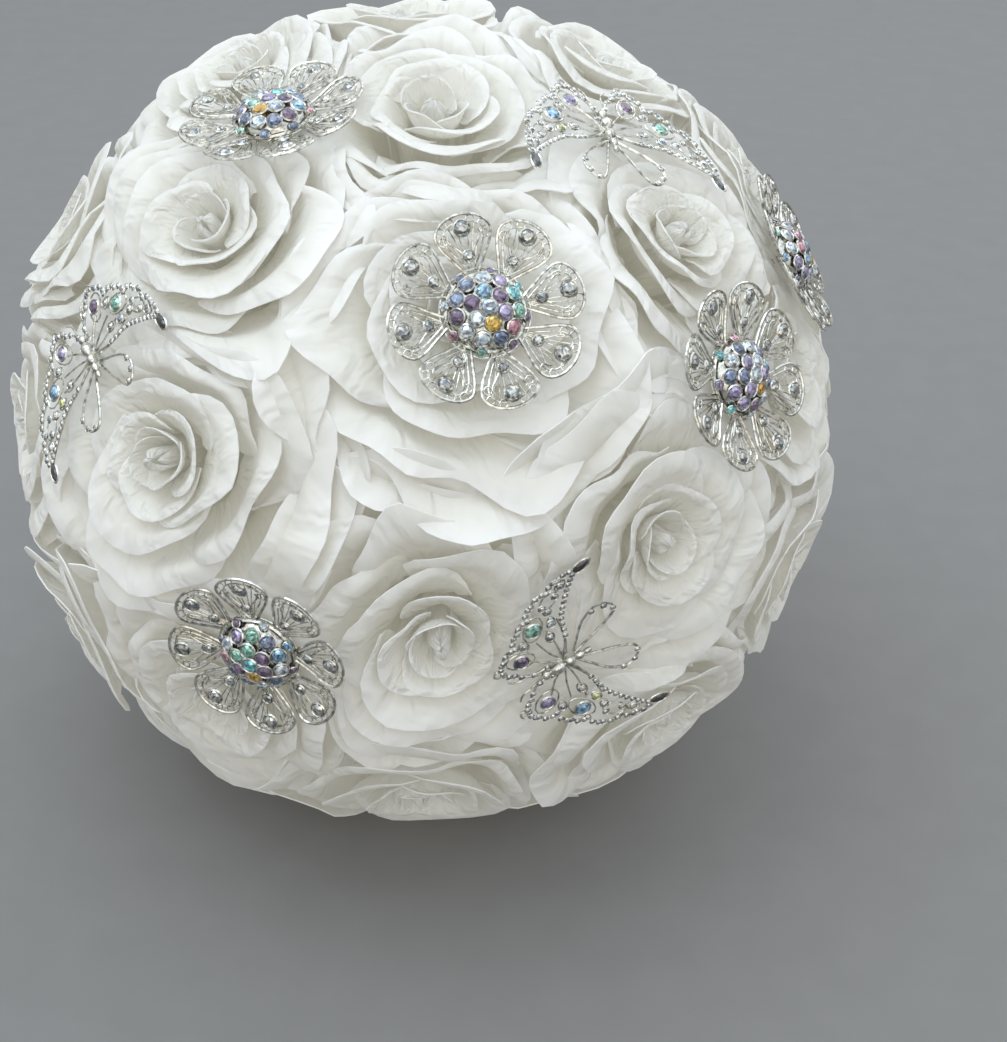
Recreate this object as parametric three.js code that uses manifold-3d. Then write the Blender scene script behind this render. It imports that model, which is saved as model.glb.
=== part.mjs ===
// Round hand bouquet of artificial white roses with wired flower and butterfly brooches.
// It lies on a table, on its lowest roses and on the end of its wrapped handle, with its face
// turned up to the viewer. Millimetres, +Z up. Everything is worked out from the middle of the
// ball of roses. A direction is given by its tilt from the bouquet's own axis and its turn round
// that axis, in degrees: 0 is to the viewer's right and 90 is upwards.
import * as THREE from 'three';
import { mergeVertices } from 'three/addons/utils/BufferGeometryUtils.js';
import Module from 'manifold-3d';

const wasm = await Module();
wasm.setup();

// The ball of roses
const HEAD_HEIGHT = 125; // the ball's middle above the table
const AXIS_RISE = 30; // the bouquet's axis above the level, in degrees
const ROSE_FOOT = 82; // from the ball's middle to the foot of each rose
const ROSE_DEPTH = 56; // from a rose's foot to its heart
const ROSE_MAX_SPREAD = 0.46; // half the width of an unhindered rose, as a share of its distance out
const NECK_DEPTH = 12; // from the foot of a rose up to where its outer petals start
const PETAL_HALF_THICKNESS = 0.45;
const PETAL_ROOT_RADIUS = 3.5;
const PETAL_OVERLAP = 0.96; // width of a petal as a share of its part of the turn
const PETAL_TIP = 5; // how far the pointed tip stands out from the edge
const BELLY_DROP = 4; // how much lower a petal's sides are than its middle
const TABLE_CLEARANCE = 0.05;

// How petals ease towards a limit: the share of it that is kept free, and the share they reach
const BY_NEIGHBOUR = { free: 0.72, reach: 0.975 };
const BY_TABLE = { free: 0.9, reach: 1.1 };
const BY_BROOCH = { free: 0.95, reach: 0.995 };

// The stems and the handle
const STEM_RADIUS = 2;
const STEM_INSET = 0.6; // of the outermost stems in the bundle's rim
const CALYX_LENGTH = 12;
const CALYX_FOOT_RADIUS = 2.6;
const CALYX_TOP_RADIUS = 7;
const BINDING_DISTANCE = 100; // from the ball's middle back to where the stems are bound
const BUNDLE_RADIUS = 13.5;
const BUNDLE_SIDES = 12;
const RIBBON_THICKNESS = 2.2;
const RIBBON_TURNS = 5;
const RIBBON_START = 7; // below the binding
const RIBBON_LAP = 0.92; // share of each turn that rises before it steps down to the next
const STEM_ENDS_SHOWING = 9;
const FIT_GAP = 0.35;

// The brooches
const BROOCH_RADIUS = 27;
const DOME_RADIUS = 10;
const PLATE_THICKNESS = 1.4;
const PRESS_CLEARANCE = 1.7; // petals lie this far below a brooch's middle plane
const PIN_RADIUS = 1.1;
const PIN_LENGTH = 34;
const PIN_SINK = 2; // how much deeper the hole for a pin is

// Roses on the face of the ball: tilt and turn in degrees, and how far each has opened
const FACE_ROSES = [
  { tilt: 12, turn: 63, open: 1.4 },
  { tilt: 43, turn: 88, open: 0.6 },
  { tilt: 42, turn: 33, open: 0.8 },
  { tilt: 37, turn: -27, open: 1.0 },
  { tilt: 29, turn: -88, open: 1.3 },
  { tilt: 35, turn: -167, open: 1.2 },
  { tilt: 37, turn: 137, open: 0.9 },
];

// Roses round the edge that shows from the front
const EDGE_ROSES = [
  { tilt: 72, turn: 92, open: 0.7 },
  { tilt: 67, turn: 62, open: 0.4 },
  { tilt: 72, turn: 37, open: 0.5 },
  { tilt: 59, turn: 5, open: 0.8 },
  { tilt: 72, turn: -22, open: 0.6 },
  { tilt: 64, turn: -53, open: 0.7 },
  { tilt: 67, turn: -89, open: 0.9 },
  { tilt: 52, turn: -125, open: 0.9 },
  { tilt: 79, turn: -146, open: 0.6 },
  { tilt: 70, turn: -178, open: 0.6 },
  { tilt: 71, turn: 151, open: 0.5 },
  { tilt: 63, turn: 119, open: 0.8 },
];

// Roses round the back of the ball, with fewer petals
const BACK_ROSES = [
  { tilt: 88, turn: 10, open: 0.5 },
  { tilt: 100, turn: -73, open: 0.6 },
  { tilt: 99, turn: -108, open: 0.6 },
  { tilt: 100, turn: -42, open: 0.5 },
  { tilt: 104, turn: -10, open: 0.5 },
  { tilt: 104, turn: 31, open: 0.6 },
  { tilt: 100, turn: 62, open: 0.5 },
  { tilt: 103, turn: 93, open: 0.7 },
  { tilt: 100, turn: 124, open: 0.5 },
  { tilt: 102, turn: 155, open: 0.6 },
  { tilt: 102, turn: -173, open: 0.5 },
  { tilt: 104, turn: -138, open: 0.6 },
];

// Brooches: where each sits, how it is turned in its own plane, its distance out, and, where it
// doesn't face straight outwards, the direction it faces
const FLOWER_BROOCHES = [
  { name: 'flower_brooch_centre', tilt: 13, turn: 57, spin: 12, seat: 137 },
  { name: 'flower_brooch_low_left', tilt: 38, turn: -124, spin: 5, seat: 133 },
  { name: 'flower_brooch_right', tilt: 43, turn: 6, spin: 20, seat: 133 },
  {
    name: 'flower_brooch_top_left', tilt: 45, turn: 117, spin: 0, seat: 133,
    facing: { tilt: 52, turn: 103 },
  },
  { name: 'flower_brooch_far_right', tilt: 68, turn: 23, spin: 10, seat: 133 },
];
const BUTTERFLY_BROOCHES = [
  { name: 'butterfly_brooch_top_right', tilt: 46, turn: 56, spin: -22, seat: 133 },
  { name: 'butterfly_brooch_left', tilt: 46, turn: 171, spin: 60, seat: 133 },
  { name: 'butterfly_brooch_low', tilt: 38, turn: -60, spin: 120, seat: 132 },
];
const PRESS_FACING = 0.7; // a brooch presses the roses that face within this cosine of it
const PIN_FACING = 0.8; // and its pin goes into those within this one

// The heart of a rose: wrapped petals as lobed lips with grooves between them, over one closed cup
// on a slim neck. Each row is a radius, a height below the heart and the height of its lobes.
const HEART_ROWS = [
  [4.5, 0, 0.5], [7.5, 8, 0],
  [11.5, 1, 1.5], [13.5, 10, 0],
  [19, 4, -2], [21, 14, 0],
  [27, 9, 2.5], [8, 34, 0], [5.5, 53, 0],
];
const SMALL_HEART_ROWS = HEART_ROWS.filter((row, index) => index !== 4 && index !== 5);
const HEART_HOLLOW = 8; // depth of the dip in the middle of the heart
const LOBE_WIDENING = 0.03;
const LOBE_RISE = 0.7;

// The finishes
const PETAL_WHITE = new THREE.MeshStandardMaterial({ color: 0xf1f2f0, roughness: 0.8, metalness: 0 });
const STEM_GREEN = new THREE.MeshStandardMaterial({ color: 0x4d6b3c, roughness: 0.6, metalness: 0 });
const SATIN_WHITE = new THREE.MeshStandardMaterial({ color: 0xf4f3ef, roughness: 0.35, metalness: 0 });
const SILVER = new THREE.MeshStandardMaterial({ color: 0xd3d5d8, roughness: 0.2, metalness: 1 });
const CRYSTAL = new THREE.MeshStandardMaterial({ color: 0xcfe0f2, roughness: 0.05, metalness: 0.1 });

const radians = THREE.MathUtils.degToRad;
const VIEW_LEAN = 0.4; // how much of the axis is in what counts as up on the ball
const FIRST_SEED = 1000;
const ROOM_STEPS = 48; // directions that are tried when a rose looks for the most room

// The bouquet's axis, and what is right and up for a viewer who looks along it
const AXIS = new THREE.Vector3(0, -Math.cos(radians(AXIS_RISE)), Math.sin(radians(AXIS_RISE)));
const RIGHT = new THREE.Vector3(1, 0, 0);
const UP = new THREE.Vector3(0, Math.sin(radians(AXIS_RISE)), Math.cos(radians(AXIS_RISE)));

function direction({ tilt, turn }) {
  const sideways = Math.sin(radians(tilt));
  return AXIS.clone().multiplyScalar(Math.cos(radians(tilt)))
    .addScaledVector(RIGHT, sideways * Math.cos(radians(turn)))
    .addScaledVector(UP, sideways * Math.sin(radians(turn)));
}

// A frame of axes whose third axis points outwards and whose second points up to the viewer
function outwardFrame(outward) {
  const upward = UP.clone().addScaledVector(AXIS, VIEW_LEAN);
  const east = upward.cross(outward).normalize();
  const north = outward.clone().cross(east);
  return { outward, east, north };
}

function randomSource(seed) {
  let state = seed;
  return () => {
    state = (state * 1664525 + 1013904223) % 4294967296;
    return state / 4294967296;
  };
}

// A closed solid from a geometry, its shared vertices merged
function solidOf(geometry) {
  const bare = geometry.clone();
  bare.deleteAttribute('normal');
  bare.deleteAttribute('uv');
  const merged = mergeVertices(bare, 1e-4);
  const mesh = new wasm.Mesh({
    numProp: 3,
    vertProperties: new Float32Array(merged.attributes.position.array),
    triVerts: new Uint32Array(merged.index.array),
  });
  return new wasm.Manifold(mesh);
}

// The largest single body of a solid, as a geometry
function geometryOf(solid) {
  const pieces = solid.decompose();
  pieces.sort((first, second) => second.volume() - first.volume());
  const mesh = pieces[0].getMesh();
  const geometry = new THREE.BufferGeometry();
  geometry.setAttribute('position', new THREE.BufferAttribute(new Float32Array(mesh.vertProperties), 3));
  geometry.setIndex(new THREE.BufferAttribute(new Uint32Array(mesh.triVerts), 1));
  geometry.computeVertexNormals();
  return geometry;
}

function joined(geometries) {
  return wasm.Manifold.union(geometries.map(solidOf));
}

// A solid closed surface from rings of points, the first and last ring being single points
function ringedGeometry(rings) {
  const positions = [];
  const starts = rings.map((ring) => {
    const start = positions.length / 3;
    ring.forEach((point) => positions.push(point.x, point.y, point.z));
    return start;
  });
  const faces = [];
  for (let level = 0; level + 1 < rings.length; level += 1) {
    const sides = Math.max(rings[level].length, rings[level + 1].length);
    for (let side = 0; side < sides; side += 1) {
      const next = (side + 1) % sides;
      const upper = (step) => starts[level] + (rings[level].length === 1 ? 0 : step);
      const lower = (step) => starts[level + 1] + (rings[level + 1].length === 1 ? 0 : step);
      if (rings[level].length > 1) faces.push(upper(side), lower(side), upper(next));
      if (rings[level + 1].length > 1) faces.push(upper(next), lower(side), lower(next));
    }
  }
  const geometry = new THREE.BufferGeometry();
  geometry.setAttribute('position', new THREE.Float32BufferAttribute(positions, 3));
  geometry.setIndex(faces);
  return geometry;
}

const BROOCHES = [...FLOWER_BROOCHES, ...BUTTERFLY_BROOCHES].map((brooch) => ({
  ...brooch,
  ...outwardFrame(direction(brooch.facing ?? brooch)),
  centre: direction(brooch).multiplyScalar(brooch.seat),
}));
const ROSES = [
  ...FACE_ROSES.map((rose) => ({ ...rose, rows: HEART_ROWS, sides: 8, outerPetals: 5 })),
  ...EDGE_ROSES.map((rose) => ({ ...rose, rows: SMALL_HEART_ROWS, sides: 8, outerPetals: 4 })),
  ...BACK_ROSES.map((rose) => ({ ...rose, rows: SMALL_HEART_ROWS, sides: 6, outerPetals: 4 })),
].map((rose, index) => ({ ...rose, index, ...outwardFrame(direction(rose)) }));

// A distance that is kept while it is short and levels off towards the limit when it is long
function eased(distance, limit, { free, reach }) {
  const share = distance / limit;
  if (share <= free) return distance;
  const room = reach - free;
  return limit * (free + room * (1 - Math.exp((free - share) / room)));
}

// The direction away from a rose's axis at an angle round it
function sideways(rose, angle) {
  return rose.east.clone().multiplyScalar(Math.cos(angle)).addScaledVector(rose.north, Math.sin(angle));
}

// How far a rose may spread to one side, as a share of the distance out: up to its neighbours
function spreadShare(rose, side) {
  let share = ROSE_MAX_SPREAD;
  for (const other of ROSES) {
    if (other.index === rose.index) continue;
    const lean = side.dot(other.outward);
    if (lean <= 0) continue;
    share = Math.min(share, (1 - rose.outward.dot(other.outward)) / lean);
  }
  return share;
}

// The angle round a rose at which it has the most room
function roomiestAngle(rose) {
  let best = { angle: 0, share: 0 };
  for (let step = 0; step < ROOM_STEPS; step += 1) {
    const angle = (2 * Math.PI * step) / ROOM_STEPS;
    const share = spreadShare(rose, sideways(rose, angle));
    if (share > best.share) best = { angle, share };
  }
  return best.angle;
}

// A point of a rose from its distance to the rose's axis, its angle round it and its height over
// the foot. It is drawn in from the neighbours, pressed under a brooch and kept off the table.
function rosePoint(rose, radius, angle, height) {
  const side = sideways(rose, angle);
  const share = spreadShare(rose, side);
  const placed = (along) => {
    let spread = eased(radius, share * along, BY_NEIGHBOUR);
    if (side.z < 0) {
      const floorLimit = (HEAD_HEIGHT + along * rose.outward.z) / -side.z;
      spread = Math.min(spread, eased(radius, Math.max(floorLimit, 1), BY_TABLE));
    }
    return rose.outward.clone().multiplyScalar(along).addScaledVector(side, spread);
  };
  let along = ROSE_FOOT + height;
  for (const brooch of BROOCHES) {
    const facing = rose.outward.dot(brooch.outward);
    if (facing < PRESS_FACING) continue;
    const limit = brooch.centre.dot(brooch.outward) - PRESS_CLEARANCE;
    const rise = placed(along).dot(brooch.outward);
    const press = rise - eased(rise, limit, BY_BROOCH);
    along -= press / facing;
  }
  const point = placed(along);
  point.z = Math.max(point.z, -HEAD_HEIGHT + PETAL_HALF_THICKNESS + TABLE_CLEARANCE);
  return point;
}

// A thin petal from rows of [radius, angle, height] along its middle surface. Both faces are
// split into the same triangles.
function petalGeometry(rose, rows, faces, rim) {
  const points = rows.map(([radius, angle, height]) => rosePoint(rose, radius, angle, height));
  const normals = points.map(() => new THREE.Vector3());
  for (const [first, second, third] of faces) {
    const across = points[second].clone().sub(points[first]);
    const normal = across.cross(points[third].clone().sub(points[first]));
    [first, second, third].forEach((corner) => normals[corner].add(normal));
  }
  const positions = [];
  for (const offset of [PETAL_HALF_THICKNESS, -PETAL_HALF_THICKNESS]) {
    points.forEach((point, corner) => {
      const moved = point.clone().addScaledVector(normals[corner].normalize(), offset);
      if (moved.z < -HEAD_HEIGHT + PETAL_HALF_THICKNESS) moved.z = -HEAD_HEIGHT;
      positions.push(moved.x, moved.y, moved.z);
    });
  }
  const count = points.length;
  const triangles = [];
  for (const [first, second, third] of faces) {
    triangles.push(first, second, third, count + first, count + third, count + second);
  }
  rim.forEach((corner, step) => {
    const next = rim[(step + 1) % rim.length];
    triangles.push(corner, count + corner, count + next, corner, count + next, next);
  });
  const geometry = new THREE.BufferGeometry();
  geometry.setAttribute('position', new THREE.Float32BufferAttribute(positions, 3));
  geometry.setIndex(triangles);
  return geometry;
}

// Faces and rim of a petal with one point at its root, four across its belly and three along its
// edge, the middle one its pointed tip
const PETAL_FACES = [
  [0, 2, 1], [0, 3, 2], [0, 4, 3],
  [1, 2, 5], [2, 6, 5], [2, 3, 6], [3, 7, 6], [3, 4, 7],
];
const PETAL_RIM = [0, 4, 7, 6, 5, 1];
const BELLY_INNER = 0.35; // share of the half width at which the belly's inner points stand
const EDGE_CORNER = 0.92;
const CORNER_DROP = 1.5;
const PETAL_LEAN = 0.04; // one side of a petal stands out more than the other, by this share

function petal(rose, { angle, halfWidth, belly, edge }) {
  const at = (share, radius, height) => [
    radius * (1 + PETAL_LEAN * share), angle + halfWidth * share, height,
  ];
  const rows = [
    at(0, PETAL_ROOT_RADIUS, NECK_DEPTH),
    at(-1, belly.radius, belly.height - BELLY_DROP), at(-BELLY_INNER, belly.radius, belly.height),
    at(BELLY_INNER, belly.radius, belly.height), at(1, belly.radius, belly.height - BELLY_DROP),
    at(-EDGE_CORNER, edge.radius, edge.height - CORNER_DROP),
    at(0, edge.radius + PETAL_TIP, edge.height),
    at(EDGE_CORNER, edge.radius, edge.height - CORNER_DROP),
  ];
  return petalGeometry(rose, rows, PETAL_FACES, PETAL_RIM);
}

function heartGeometry(rose, spin) {
  const rings = rose.rows.map(([radius, below, lobe]) => {
    const points = [];
    for (let side = 0; side < rose.sides; side += 1) {
      const angle = spin + (2 * Math.PI * side) / rose.sides;
      const wave = side % 2 === 0 ? lobe : -lobe;
      const height = ROSE_DEPTH - below + LOBE_RISE * wave;
      points.push(rosePoint(rose, radius * (1 + LOBE_WIDENING * wave), angle, height));
    }
    return points;
  });
  const top = [rosePoint(rose, 0, 0, ROSE_DEPTH - HEART_HOLLOW)];
  const bottom = [rosePoint(rose, 0, 0, 0)];
  return ringedGeometry([top, ...rings, bottom]);
}

// The outer petals of a rose, one of them towards where there is the most room
const ANGLE_WOBBLE = 0.15;
const RADIUS_WOBBLE = 2;
const HEIGHT_WOBBLE = 4;

function outerPetals(rose, random) {
  const wobble = (size) => (random() - 0.5) * size;
  const first = roomiestAngle(rose);
  const petals = [];
  for (let index = 0; index < rose.outerPetals; index += 1) {
    petals.push(petal(rose, {
      angle: first + (2 * Math.PI * index) / rose.outerPetals + wobble(ANGLE_WOBBLE),
      halfWidth: (PETAL_OVERLAP * Math.PI) / rose.outerPetals,
      belly: { radius: 35, height: 29 },
      edge: {
        radius: 46 + 10 * rose.open + wobble(RADIUS_WOBBLE),
        height: 40 - 7 * rose.open + wobble(HEIGHT_WOBBLE),
      },
    }));
  }
  return petals;
}

function roseSolid(rose) {
  const random = randomSource(FIRST_SEED + rose.index);
  const spin = random() * 2 * Math.PI;
  let solid = joined([heartGeometry(rose, spin), ...outerPetals(rose, random)]);
  for (const brooch of BROOCHES) {
    if (rose.outward.dot(brooch.outward) < PIN_FACING) continue;
    solid = solid.subtract(solidOf(pinGeometry(brooch, PIN_RADIUS + FIT_GAP, PIN_SINK)));
  }
  return solid;
}

// Puts a geometry that was made flat, with +Z as its face, on a brooch's seat
function seated(geometry, brooch) {
  const turned = geometry.clone().rotateZ(radians(brooch.spin));
  const place = new THREE.Matrix4().makeBasis(brooch.east, brooch.north, brooch.outward);
  place.setPosition(brooch.centre);
  return turned.applyMatrix4(place);
}

// The wire that holds a brooch in the roses; the hole for it is the same shape, a little larger
function pinGeometry(brooch, radius, extra) {
  const length = PIN_LENGTH + extra;
  const pin = new THREE.CylinderGeometry(radius, radius, length, 4);
  return seated(pin.rotateX(Math.PI / 2).translate(0, 0, -length / 2), brooch);
}

// A cut stone: eight facets, wider than it is deep
const STONE_FLATNESS = 0.75;
const STONE_RADIUS = 2.4;
const STONE_SEAT = 1.2; // its middle above the middle of the plate

function stoneGeometry(x, y, z, radius) {
  return new THREE.OctahedronGeometry(radius).scale(1, 1, STONE_FLATNESS).translate(x, y, z);
}

function polar(radius, degrees) {
  return [radius * Math.cos(radians(degrees)), radius * Math.sin(radians(degrees))];
}

function plateGeometry(outline, holes) {
  const shape = new THREE.Shape(outline.map(([x, y]) => new THREE.Vector2(x, y)));
  shape.holes = holes.map((hole) => new THREE.Path(hole.map(([x, y]) => new THREE.Vector2(x, y))));
  const plate = new THREE.ExtrudeGeometry(shape, { depth: PLATE_THICKNESS, bevelEnabled: false });
  return plate.translate(0, 0, -PLATE_THICKNESS / 2);
}

// A flower brooch: the outline and the hole of each of its petals, as shares of the radius and
// degrees from the petal's middle
const FLOWER_PETALS = 8;
const FLOWER_PETAL_OUTLINE = [[0.48, -22.5], [0.8, -19], [1, -8], [1, 8], [0.8, 19]];
const FLOWER_PETAL_HOLE = [[0.46, 0], [0.68, 12], [0.79, 0], [0.68, -12]];
const FLOWER_STONE_PLACE = 0.9;

function flowerPlate(brooch) {
  const outline = [];
  const holes = [];
  const geometries = [];
  for (let index = 0; index < FLOWER_PETALS; index += 1) {
    const middle = (360 * index) / FLOWER_PETALS;
    const point = ([share, degrees]) => polar(BROOCH_RADIUS * share, middle + degrees);
    outline.push(...FLOWER_PETAL_OUTLINE.map(point));
    holes.push(FLOWER_PETAL_HOLE.map(point));
    const [x, y] = point([FLOWER_STONE_PLACE, 0]);
    geometries.push(seated(stoneGeometry(x, y, STONE_SEAT, STONE_RADIUS), brooch));
  }
  geometries.push(seated(plateGeometry(outline, holes), brooch), pinGeometry(brooch, PIN_RADIUS, 0));
  return joined(geometries);
}

// The dome of crystals in a flower brooch's middle: a ring of stones and one on top
const DOME_SIDES = 6;
const DOME_HEIGHT = 5.5;
const DOME_SHOULDER = { radius: 7.5, height: 4.2 };
const DOME_STONES = 6;
const DOME_STONE_RADIUS = 3;

function crystalDome(brooch) {
  const base = PLATE_THICKNESS / 2 + FIT_GAP;
  const profile = [
    [0, base], [DOME_RADIUS, base],
    [DOME_SHOULDER.radius, base + DOME_SHOULDER.height], [0, base + DOME_HEIGHT],
  ];
  const dome = new THREE.LatheGeometry(profile.map(([r, z]) => new THREE.Vector2(r, z)), DOME_SIDES);
  const geometries = [seated(dome.rotateX(Math.PI / 2), brooch)];
  for (let index = 0; index < DOME_STONES; index += 1) {
    const [x, y] = polar(DOME_SHOULDER.radius, (360 * index) / DOME_STONES);
    const stone = stoneGeometry(x, y, base + DOME_SHOULDER.height - 0.8, DOME_STONE_RADIUS);
    geometries.push(seated(stone, brooch));
  }
  geometries.push(seated(stoneGeometry(0, 0, base + DOME_HEIGHT, DOME_STONE_RADIUS), brooch));
  return joined(geometries);
}

// One wing pair of a butterfly, right side; the left side is its mirror image. The head is at +Y.
const BUTTERFLY_RIGHT = [
  [2, 6], [9, 16], [13, 15.5], [17, 9], [25, 3], [30, -8], [31, -17], [25, -15],
  [16, -6], [7, -3], [13, -9], [14, -16], [9, -20], [4, -12], [1.5, -6],
];
const BUTTERFLY_RIGHT_HOLES = [
  [[12, 2], [17, 5], [22, 0], [18, -4]],
  [[7.5, -8.5], [11, -11], [10, -15.5], [7, -13]],
];
const BUTTERFLY_STONES = [[10.5, 10.5], [26.5, -9.5]];
const BUTTERFLY_BODY = { halfWidth: 1.7, halfLength: 8, halfDepth: 1.8, along: 0.5 };

function butterflyPlate(brooch) {
  const mirrored = (points) => points.map(([x, y]) => [-x, y]).reverse();
  const outline = [...BUTTERFLY_RIGHT.slice().reverse(), ...BUTTERFLY_RIGHT.map(([x, y]) => [-x, y])];
  const holes = [...BUTTERFLY_RIGHT_HOLES, ...BUTTERFLY_RIGHT_HOLES.map(mirrored)];
  const geometries = [seated(plateGeometry(outline, holes), brooch)];
  for (const [x, y] of BUTTERFLY_STONES) {
    geometries.push(seated(stoneGeometry(x, y, STONE_SEAT, STONE_RADIUS), brooch));
    geometries.push(seated(stoneGeometry(-x, y, STONE_SEAT, STONE_RADIUS), brooch));
  }
  const { halfWidth, halfLength, halfDepth, along } = BUTTERFLY_BODY;
  const body = new THREE.OctahedronGeometry(1).scale(halfWidth, halfLength, halfDepth);
  geometries.push(seated(body.translate(0, along, STONE_SEAT), brooch));
  geometries.push(pinGeometry(brooch, PIN_RADIUS, 0));
  return joined(geometries);
}

// Places a geometry made along +Z on the bouquet's own axis, its top at the binding
function onAxis(geometry) {
  const back = AXIS.clone().negate();
  const place = new THREE.Matrix4().makeBasis(RIGHT, UP.clone().negate(), back);
  return geometry.clone().applyMatrix4(place);
}

// A straight round bar between two points, with few sides
function barGeometry(from, to, radiusFrom, radiusTo, sides) {
  const span = to.clone().sub(from);
  const bar = new THREE.CylinderGeometry(radiusTo, radiusFrom, span.length(), sides);
  const along = span.clone().normalize();
  const turn = new THREE.Quaternion().setFromUnitVectors(new THREE.Vector3(0, 1, 0), along);
  return bar.applyQuaternion(turn).translate(...from.clone().add(to).multiplyScalar(0.5).toArray());
}

// The handle ends where its lower edge meets the table
const HANDLE_END = (HEAD_HEIGHT - BUNDLE_RADIUS * Math.cos(radians(AXIS_RISE)))
  / Math.sin(radians(AXIS_RISE));

// Where a stem stands in the bound bundle: further out for a rose further down the ball
const WIDEST_TILT = Math.max(...ROSES.map((rose) => rose.tilt));
const BUNDLE_LEAD = 2; // how far the bundle reaches above the binding
const STEM_SINK = 3; // how far a stem goes down into the bundle

function bundlePlace(rose) {
  const radius = (BUNDLE_RADIUS - STEM_RADIUS - STEM_INSET) * Math.sqrt(rose.tilt / WIDEST_TILT);
  const [x, y] = polar(radius, rose.turn);
  return AXIS.clone().multiplyScalar(-BINDING_DISTANCE).addScaledVector(RIGHT, x).addScaledVector(UP, y);
}

function stemBundle() {
  const bundle = new THREE.CylinderGeometry(
    BUNDLE_RADIUS, BUNDLE_RADIUS, HANDLE_END - BINDING_DISTANCE + BUNDLE_LEAD, BUNDLE_SIDES,
  );
  bundle.rotateX(Math.PI / 2).translate(0, 0, (HANDLE_END + BINDING_DISTANCE - BUNDLE_LEAD) / 2);
  const geometries = [onAxis(bundle)];
  for (const rose of ROSES) {
    const calyxTop = rose.outward.clone().multiplyScalar(ROSE_FOOT - FIT_GAP);
    const calyxFoot = rose.outward.clone().multiplyScalar(ROSE_FOOT - CALYX_LENGTH);
    geometries.push(barGeometry(calyxFoot, calyxTop, CALYX_FOOT_RADIUS, CALYX_TOP_RADIUS, 5));
    const into = bundlePlace(rose).addScaledVector(AXIS, -STEM_SINK);
    const inward = calyxFoot.clone().addScaledVector(rose.outward, STEM_RADIUS);
    geometries.push(barGeometry(into, inward, STEM_RADIUS, STEM_RADIUS, 3));
  }
  return joined(geometries);
}

// The satin ribbon wound round the bundle, each turn lapped over the one before
function ribbonWrap() {
  const inner = BUNDLE_RADIUS + FIT_GAP;
  const start = BINDING_DISTANCE + RIBBON_START;
  const end = HANDLE_END - STEM_ENDS_SHOWING;
  const pitch = (end - start) / RIBBON_TURNS;
  const profile = [[inner, end], [inner, start]];
  for (let turn = 0; turn < RIBBON_TURNS; turn += 1) {
    profile.push([inner + RIBBON_THICKNESS / 2, start + turn * pitch]);
    profile.push([inner + RIBBON_THICKNESS, start + (turn + RIBBON_LAP) * pitch]);
  }
  profile.push([inner + RIBBON_THICKNESS / 2, end], [inner, end]);
  const points = profile.map(([radius, along]) => new THREE.Vector2(radius, along));
  const sleeve = new THREE.LatheGeometry(points, BUNDLE_SIDES);
  return onAxis(sleeve.rotateX(Math.PI / 2));
}

function named(name, geometry, material) {
  const mesh = new THREE.Mesh(geometry, material);
  mesh.name = name;
  return mesh;
}

const bouquet = new THREE.Group();
ROSES.forEach((rose) => {
  const number = String(rose.index + 1).padStart(2, '0');
  bouquet.add(named(`rose_${number}`, geometryOf(roseSolid(rose)), PETAL_WHITE));
});
bouquet.add(named('stem_bundle', geometryOf(stemBundle()), STEM_GREEN));
bouquet.add(named('ribbon_wrap', geometryOf(solidOf(ribbonWrap())), SATIN_WHITE));
for (const brooch of BROOCHES) {
  const isFlower = brooch.name.startsWith('flower');
  const plate = isFlower ? flowerPlate(brooch) : butterflyPlate(brooch);
  bouquet.add(named(brooch.name, geometryOf(plate), SILVER));
  if (isFlower) bouquet.add(named(`${brooch.name}_crystals`, geometryOf(crystalDome(brooch)), CRYSTAL));
}

// The origin is at the middle of the bouquet's footprint, on the table
const extent = new THREE.Box3().setFromObject(bouquet);
const middle = extent.getCenter(new THREE.Vector3());
bouquet.position.set(-middle.x, -middle.y, -extent.min.z);
bouquet.updateMatrixWorld(true);

export default bouquet;
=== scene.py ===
"""Dresses the frame of a round hand bouquet: fabric roses, stems, ribbon and jewelled brooches.

Lengths in the classes are millimetres from the middle of the ball of roses, as in the frame's own
source, and become metres in the row frame when a mesh is made.
"""

import logging
import math
from abc import ABC, abstractmethod
from dataclasses import dataclass, field
from enum import Enum
from typing import NamedTuple

import bpy
import numpy as np
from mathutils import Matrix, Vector

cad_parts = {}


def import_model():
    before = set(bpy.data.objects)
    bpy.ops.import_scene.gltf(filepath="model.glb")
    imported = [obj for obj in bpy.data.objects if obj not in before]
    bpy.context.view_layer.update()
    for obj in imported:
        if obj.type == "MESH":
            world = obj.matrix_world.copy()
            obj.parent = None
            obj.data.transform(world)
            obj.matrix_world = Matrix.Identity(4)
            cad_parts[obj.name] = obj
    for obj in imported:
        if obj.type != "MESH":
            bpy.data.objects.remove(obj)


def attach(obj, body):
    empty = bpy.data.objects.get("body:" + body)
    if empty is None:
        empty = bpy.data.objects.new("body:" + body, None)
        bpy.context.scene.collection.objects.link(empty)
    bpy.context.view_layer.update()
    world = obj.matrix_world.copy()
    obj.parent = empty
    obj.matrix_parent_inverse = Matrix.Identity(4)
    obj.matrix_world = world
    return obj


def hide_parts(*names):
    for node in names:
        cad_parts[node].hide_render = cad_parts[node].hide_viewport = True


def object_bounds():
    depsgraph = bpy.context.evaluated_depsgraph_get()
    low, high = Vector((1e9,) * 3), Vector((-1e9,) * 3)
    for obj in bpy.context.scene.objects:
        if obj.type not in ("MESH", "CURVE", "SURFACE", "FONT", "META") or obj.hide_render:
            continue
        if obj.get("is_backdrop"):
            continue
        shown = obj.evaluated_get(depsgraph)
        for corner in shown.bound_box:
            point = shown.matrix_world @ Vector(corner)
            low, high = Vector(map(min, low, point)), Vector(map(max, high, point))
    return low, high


LOG = logging.getLogger("bouquet")

Array = np.ndarray
Item = bpy.types.Object
Socket = bpy.types.NodeSocket
Triple = tuple[float, float, float]
Pairs = tuple[tuple[float, float], ...]

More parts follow.
